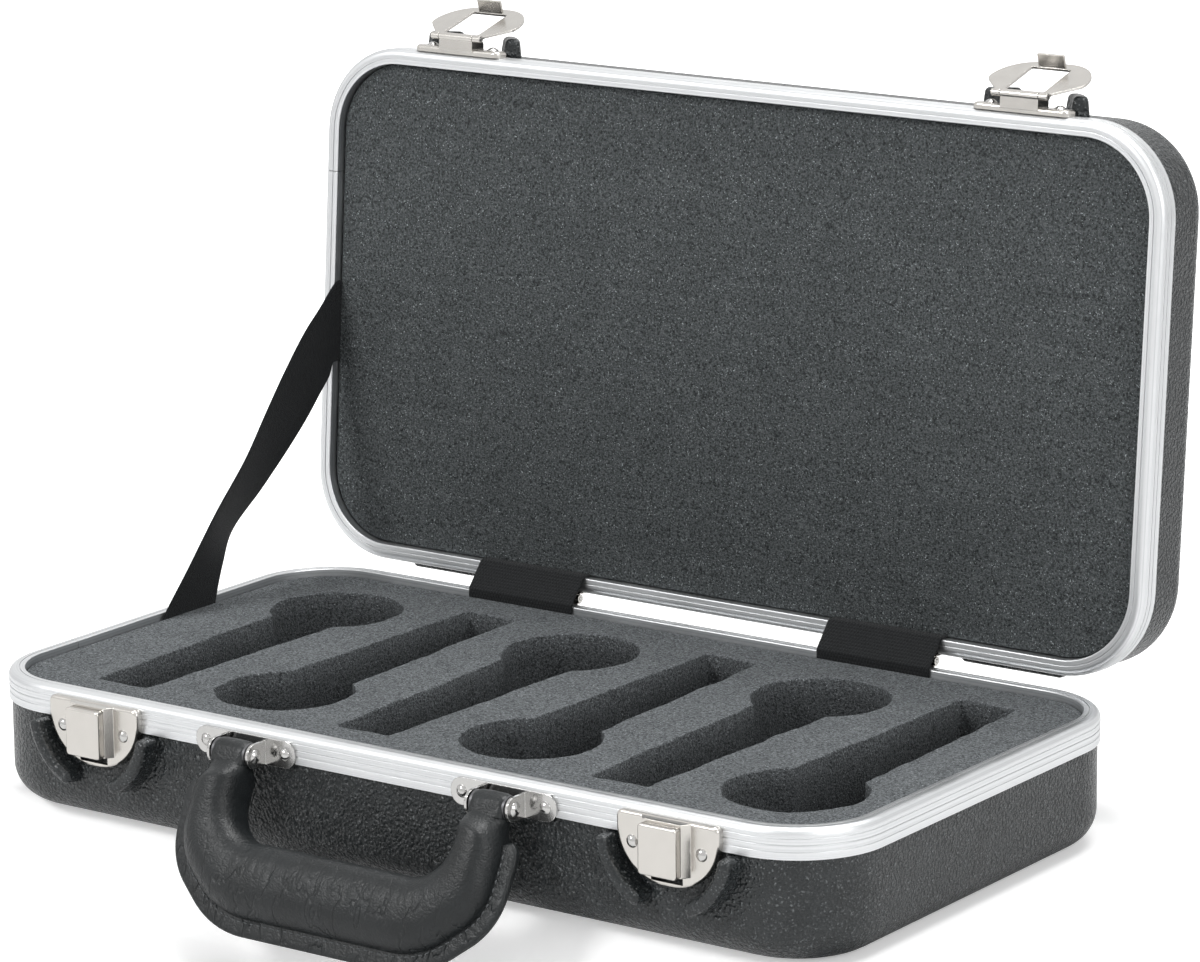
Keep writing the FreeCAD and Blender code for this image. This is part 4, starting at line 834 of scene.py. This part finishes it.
def superellipse(angle, power):
    """A point of a rounded square of half width 1, squarer with a higher power."""
    c, s = math.cos(angle), math.sin(angle)
    return (math.copysign(abs(c) ** (2 / power), c), math.copysign(abs(s) ** (2 / power), s))


def grip_outline(corners, splits):
    """An outline of the grip from right to left, in a set number of steps on each stretch."""
    leg, rest = split_at(divided_open(filleted(corners), OUTLINE_STEP), Vector(splits[0]))
    turn, floor = split_at(rest, Vector(splits[1]))
    half = []
    for stretch, count in zip((leg, turn, floor), STRETCH_STEPS):
        half.extend(evenly(stretch, count)[1 if half else 0:])
    return both_sides(half)


def grip_ring(near, far, along, close):
    """A ring round the grip between its two outlines. Close is under 1 where the ends close over."""
    growth = soft_share(((near + far) / 2).y, SWELL_START, SWELL_REACH)
    far = far + (near - far).normalized() * SEAM_INSIDE * growth
    middle, half = (near + far) / 2, (far - near) / 2
    thick = GRIP_END_THICK + (GRIP_THICK - GRIP_END_THICK) * growth
    creased = min(1.0, max(0.0, (middle.y - CREASE_START) / CREASE_REACH))
    ring = []
    for k in range(GRIP_AROUND):
        c, s = superellipse(2 * math.pi * k / GRIP_AROUND, GRIP_SQUARENESS)
        place = middle + half * c * (0.95 + 0.05 * close)
        lift = thick / 2 * s * (0.86 + 0.14 * close)
        lift *= 1 - max(0.0, c) ** 2 * OUTER_SLOPE
        face = 4 * (s > 0)
        crease = noise.noise(Vector((along * 0.55, c * 1.3 + face, 3.0)))
        crease += 0.5 * noise.noise(Vector((along * 1.1, c * 2.1, 9.0 + face)))
        sag = noise.noise(Vector((place.x * 0.05, place.y * 0.05, s)))
        dents = CREASE_DEPTH * crease * creased * max(0.0, 1 - abs(c + 0.1) * 0.9) + SAG_DEPTH * sag
        lift += math.copysign(1, s) * dents
        ring.append(on_handle(place.x, lift, place.y))
    return ring


def grip_mesh():
    """The padded grip, which is thinner at its ends."""
    stations = list(zip(grip_outline(GRIP_INNER, INNER_SPLITS), grip_outline(GRIP_OUTER, OUTER_SPLITS)))
    count = len(stations)
    rows = []
    for i, (near, far) in enumerate(stations):
        end = min(i, count - 1 - i)
        close = math.sqrt(1 - (1 - min(1.0, (end + 1) / CLOSING_ROWS)) ** 2)
        rows.append(grip_ring(near, far, i - count / 2, close))
    return grid("handle_grip_cover", rows)


def offset_line(points, distance):
    """An open line moved sideways, away from the handle's middle."""
    result = []
    for i, point in enumerate(points):
        ahead = points[min(i + 1, len(points) - 1)] - points[max(i - 1, 0)]
        side = Vector((-ahead.y, ahead.x)).normalized()
        if side.dot(point - LOOP_MIDDLE) < 0:
            side = -side
        result.append(point + side * distance)
    return result


def welt_line():
    """The outer outline of the grip from where the welt starts."""
    line = both_sides(divided_open(filleted(GRIP_OUTER), OUTLINE_STEP))
    line = [point for point in line if point.y > WELT_START]
    return spaced(line, WELT_STEP)


def welt_mesh():
    """A flat sewn edge with a rounded rim, uneven where the stitches pull it in."""
    rows = []
    line = welt_line()
    low, high = offset_line(line, -WELT_IN), offset_line(line, WELT_OUT)
    count = len(line)
    for i in range(count):
        fade = min(1.0, (min(i, count - 1 - i) + 1) / WELT_FADE_ROWS)
        fade = math.sqrt(1 - (1 - fade) ** 2)
        stitch = abs(math.sin(i * WELT_STEP * math.pi / PUCKER_PITCH))
        row = []
        for k in range(WELT_AROUND):
            c, s = superellipse(2 * math.pi * k / WELT_AROUND, WELT_SQUARENESS)
            share = (c + 1) / 2
            place = low[i].lerp(high[i], share * (0.55 + 0.45 * fade))
            pull = math.exp(-((share - PULL_AT) / PULL_WIDTH) ** 2) * (PULL_DEPTH - PUCKER_DEPTH * stitch)
            rough = noise.noise(Vector((i * 0.35, share * 6, s * 3)))
            rough = rough * WELT_ROUGHNESS * (0.3 < share < 0.97)
            lift = s * (WELT_THICK / 2 * (0.5 + 0.5 * fade) - pull + rough)
            row.append(on_handle(place.x, lift, place.y))
        rows.append(row)
    return grid("handle_welt_edge", rows)


def stitch_rings(start, end, face):
    """Rings of points round one stitch, which is thin at its ends and stands up between them."""
    tangent = (end - start).normalized()
    rings = []
    for k in range(STITCH_STEPS + 1):
        share = k / STITCH_STEPS
        point = start.lerp(end, share)
        rise = math.sin(math.pi * share)
        radius = STITCH_RADIUS + STITCH_SWELL * math.sqrt(rise)
        ring = []
        for m in range(STITCH_AROUND):
            angle = 2 * math.pi * m / STITCH_AROUND
            side = Vector((-tangent.y, tangent.x)) * math.cos(angle) * radius
            height = WELT_THICK / 2 - STITCH_SUNK + STITCH_RISE * rise
            lift = face * (height + math.sin(angle) * radius)
            ring.append(on_handle(point.x + side.x, lift, point.y + side.y))
        rings.append(ring)
    return rings


def stitch_mesh():
    """Thread stitches on both faces of the welt, beside the grip."""
    line = offset_line(welt_line(), STITCH_LINE)
    stitches = bmesh.new()
    for face in (-1, 1):
        for i in range(STITCH_MARGIN, len(line) - STITCH_MARGIN - STITCH_PITCH, STITCH_PITCH):
            rings = [[stitches.verts.new(point) for point in ring]
                     for ring in stitch_rings(line[i], line[i + STITCH_LENGTH], face)]
            for first, second in zip(rings, rings[1:]):
                for m in range(STITCH_AROUND):
                    ahead = (m + 1) % STITCH_AROUND
                    stitches.faces.new((first[m], first[ahead], second[ahead], second[m]))
            stitches.faces.new(list(reversed(rings[0])))
            stitches.faces.new(rings[-1])
    bmesh.ops.recalc_face_normals(stitches, faces=stitches.faces)
    mesh = bpy.data.meshes.new("handle_stitches")
    stitches.to_mesh(mesh)
    stitches.free()
    return mesh


def eye_wrap_mesh(sign):
    """The cover's end, folded over the eye between the bracket's ears."""
    rows = []
    for i in range(EYE_ROWS + 1):
        along = (2 * i / EYE_ROWS - 1) * EYE_HALF
        u = EYE_X * sign + along
        close = math.sqrt(max(0.0, 1 - (abs(along) / EYE_HALF) ** 6)) * 0.35 + 0.65
        row = []
        for k in range(EYE_AROUND + 1):
            angle = math.pi * k / EYE_AROUND
            pucker = EYE_PUCKER * noise.noise(Vector((along * 0.5, angle * 2, sign * 4.0)))
            reach = EYE_RADIUS * close + pucker
            row.append(on_handle(u, reach * math.cos(angle), -reach * math.sin(angle)))
        flank = EYE_RADIUS * close
        for across, share in ((-flank, 0.5), (-flank, 1.0), (0, 1.0), (flank, 1.0), (flank, 0.5)):
            row.append(on_handle(u, across, EYE_DEPTH * share))
        rows.append(row)
    return grid(f"handle_eye_wrap_{'right' if sign > 0 else 'left'}", rows)


def add_handle():
    """The grip with its welt, stitches and folded ends."""
    cover = grained_cover()
    for sign in (-1, 1):
        wrap = eye_wrap_mesh(sign)
        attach(new_piece(wrap.name, wrap, cover, 60), "handle")
    grip = new_piece("handle_grip_cover", grip_mesh(), cover)
    welt = new_piece("handle_welt_edge", welt_mesh(), cover)
    stitches = new_piece("handle_stitches", stitch_mesh(), thread())
    for piece in (grip, welt, stitches):
        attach(piece, "handle")
    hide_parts("handle_grip")
    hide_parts("handle_welt")


# Finishes of the solids that keep their shapes

def repaint():
    """Gives each solid its finish. The small fittings are brighter than the pressed plates."""
    finishes = {
        "base_shell": shell_plastic("base_plastic", False),
        "lid_shell": shell_plastic("lid_plastic", True),
        "base_frame": satin_aluminium("base_aluminium", False),
        "lid_frame": satin_aluminium("lid_aluminium", True),
        "handle_core": nickel("core_steel", (0.12, 0.12, 0.125), 0.4),
    }
    plate = nickel("nickel", (0.56, 0.54, 0.51), 0.24)
    bright = nickel("bright_nickel", (0.50, 0.495, 0.485), 0.14)
    for name, node in frame["nodes"].items():
        is_fitting = any(word in name for word in ("bracket", "pin", "spring", "rivets"))
        finish = finishes.get(name, bright if is_fitting else plate)
        for place in node.material_slots:
            place.material = finish


# Stage: a pale floor that drops in front of the case, where the handle hangs. Metres.
FLOOR_HALF_WIDTH = 3.0
FLOOR_NEAR = -2.2
FLOOR_REACH = 5.0
FLOOR_TOP = -0.0002
FLOOR_COLUMNS = 25
FLOOR_ROWS = 160
DROP_START = 0.092
DROP_REACH = 0.034
DROP_DEPTH = 0.034
FINE_NEAR = -0.3
FINE_REACH = 0.4
FINE_ROWS = 200
# For the camera alone the floor glows, more strongly far from the case
GLOW_START, GLOW_END = 0.25, 0.9
GLOW_NEAR, GLOW_FAR = 0.36, 0.9


def add_floor():
    """The floor, with closer rows around its drop."""
    rows = [FLOOR_NEAR + FLOOR_REACH * k / FLOOR_ROWS for k in range(FLOOR_ROWS + 1)]
    rows = [y for y in rows if not FINE_NEAR < y < FINE_NEAR + FINE_REACH]
    rows += [FINE_NEAR + FINE_REACH * k / FINE_ROWS for k in range(FINE_ROWS + 1)]
    rows.sort()
    columns = FLOOR_COLUMNS
    points, faces = [], []
    for y in rows:
        height = FLOOR_TOP - DROP_DEPTH * soft_share(-y, DROP_START, DROP_REACH)
        for j in range(columns):
            across = 2 * FLOOR_HALF_WIDTH * j / (columns - 1) - FLOOR_HALF_WIDTH
            points.append((across, y, height))
    for i in range(len(rows) - 1):
        for j in range(columns - 1):
            a = i * columns + j
            faces.append((a, a + 1, a + 1 + columns, a + columns))
    mesh = bpy.data.meshes.new("floor")
    mesh.from_pydata(points, [], faces)
    mesh.polygons.foreach_set("use_smooth", [True] * len(mesh.polygons))
    floor = bpy.data.objects.new("floor", mesh)
    bpy.context.scene.collection.objects.link(floor)
    n = Nodes("pale_floor")
    away = n.add("ShaderNodeVectorMath", operation="LENGTH", inputs={0: n.places()}).outputs["Value"]
    seen = n.add("ShaderNodeLightPath").outputs["Is Camera Ray"]
    glow = n.maths("MULTIPLY", n.spread(away, GLOW_START, GLOW_END, GLOW_NEAR, GLOW_FAR), seen)
    mesh.materials.append(n.finish(
        Base_Color=(0.88, 0.88, 0.88),
        Roughness=0.9,
        Specular_IOR_Level=0.1,
        Emission_Color=(1.0, 1.0, 1.0),
        Emission_Strength=glow))


# Soft lights: name, place, width and height in metres, and watts
LIGHTS = (
    ("key", (-1.2, -2.2, 2.0), (0.9, 0.7), 40),
    ("fill", (2.4, -0.6, 1.3), (1.2, 1.2), 20),
    ("top", (0.2, 0.5, 2.6), (1.8, 1.4), 66),
)
LIGHTS_AIM = Vector((0, 0, 0.05))
SURROUND_STRENGTH = 0.36


def add_light(name, place, size, watts):
    """A rectangular soft light that faces the case."""
    data = bpy.data.lights.new(name, "AREA")
    data.shape = "RECTANGLE"
    data.size, data.size_y = size
    data.energy = watts
    light = bpy.data.objects.new(name, data)
    light.location = place
    light.rotation_euler = (LIGHTS_AIM - Vector(place)).to_track_quat("-Z", "Y").to_euler()
    bpy.context.scene.collection.objects.link(light)


def add_world(strength):
    """A soft surround for lighting, and plain white behind the case."""
    world = bpy.data.worlds.new("studio")
    world.use_nodes = True
    tree = world.node_tree
    tree.nodes.clear()
    output = tree.nodes.new("ShaderNodeOutputWorld")
    mix = tree.nodes.new("ShaderNodeMixShader")
    soft = tree.nodes.new("ShaderNodeBackground")
    white = tree.nodes.new("ShaderNodeBackground")
    path = tree.nodes.new("ShaderNodeLightPath")
    soft.inputs["Color"].default_value = (1, 1, 1, 1)
    soft.inputs["Strength"].default_value = strength
    white.inputs["Color"].default_value = (1, 1, 1, 1)
    white.inputs["Strength"].default_value = 1.0
    seen = path.outputs["Is Camera Ray"]
    for kind in ("Is Glossy Ray", "Is Transmission Ray"):
        either = tree.nodes.new("ShaderNodeMath")
        either.operation = "MAXIMUM"
        tree.links.new(seen, either.inputs[0])
        tree.links.new(path.outputs[kind], either.inputs[1])
        seen = either.outputs[0]
    tree.links.new(seen, mix.inputs[0])
    tree.links.new(soft.outputs[0], mix.inputs[1])
    tree.links.new(white.outputs[0], mix.inputs[2])
    tree.links.new(mix.outputs[0], output.inputs["Surface"])
    bpy.context.scene.world = world


repaint()
add_foam()
webbing_cloth = woven("webbing_cloth", 2200.0)
for side_name, side_sign in (("left", -1), ("right", 1)):
    add_webbing(side_name, side_sign, webbing_cloth)
add_stay_strap(woven("strap_cloth", 1600.0))
add_handle()
add_floor()
for light in LIGHTS:
    add_light(*light)
add_world(SURROUND_STRENGTH)
add_camera()
bpy.context.scene.view_settings.view_transform = "Standard"
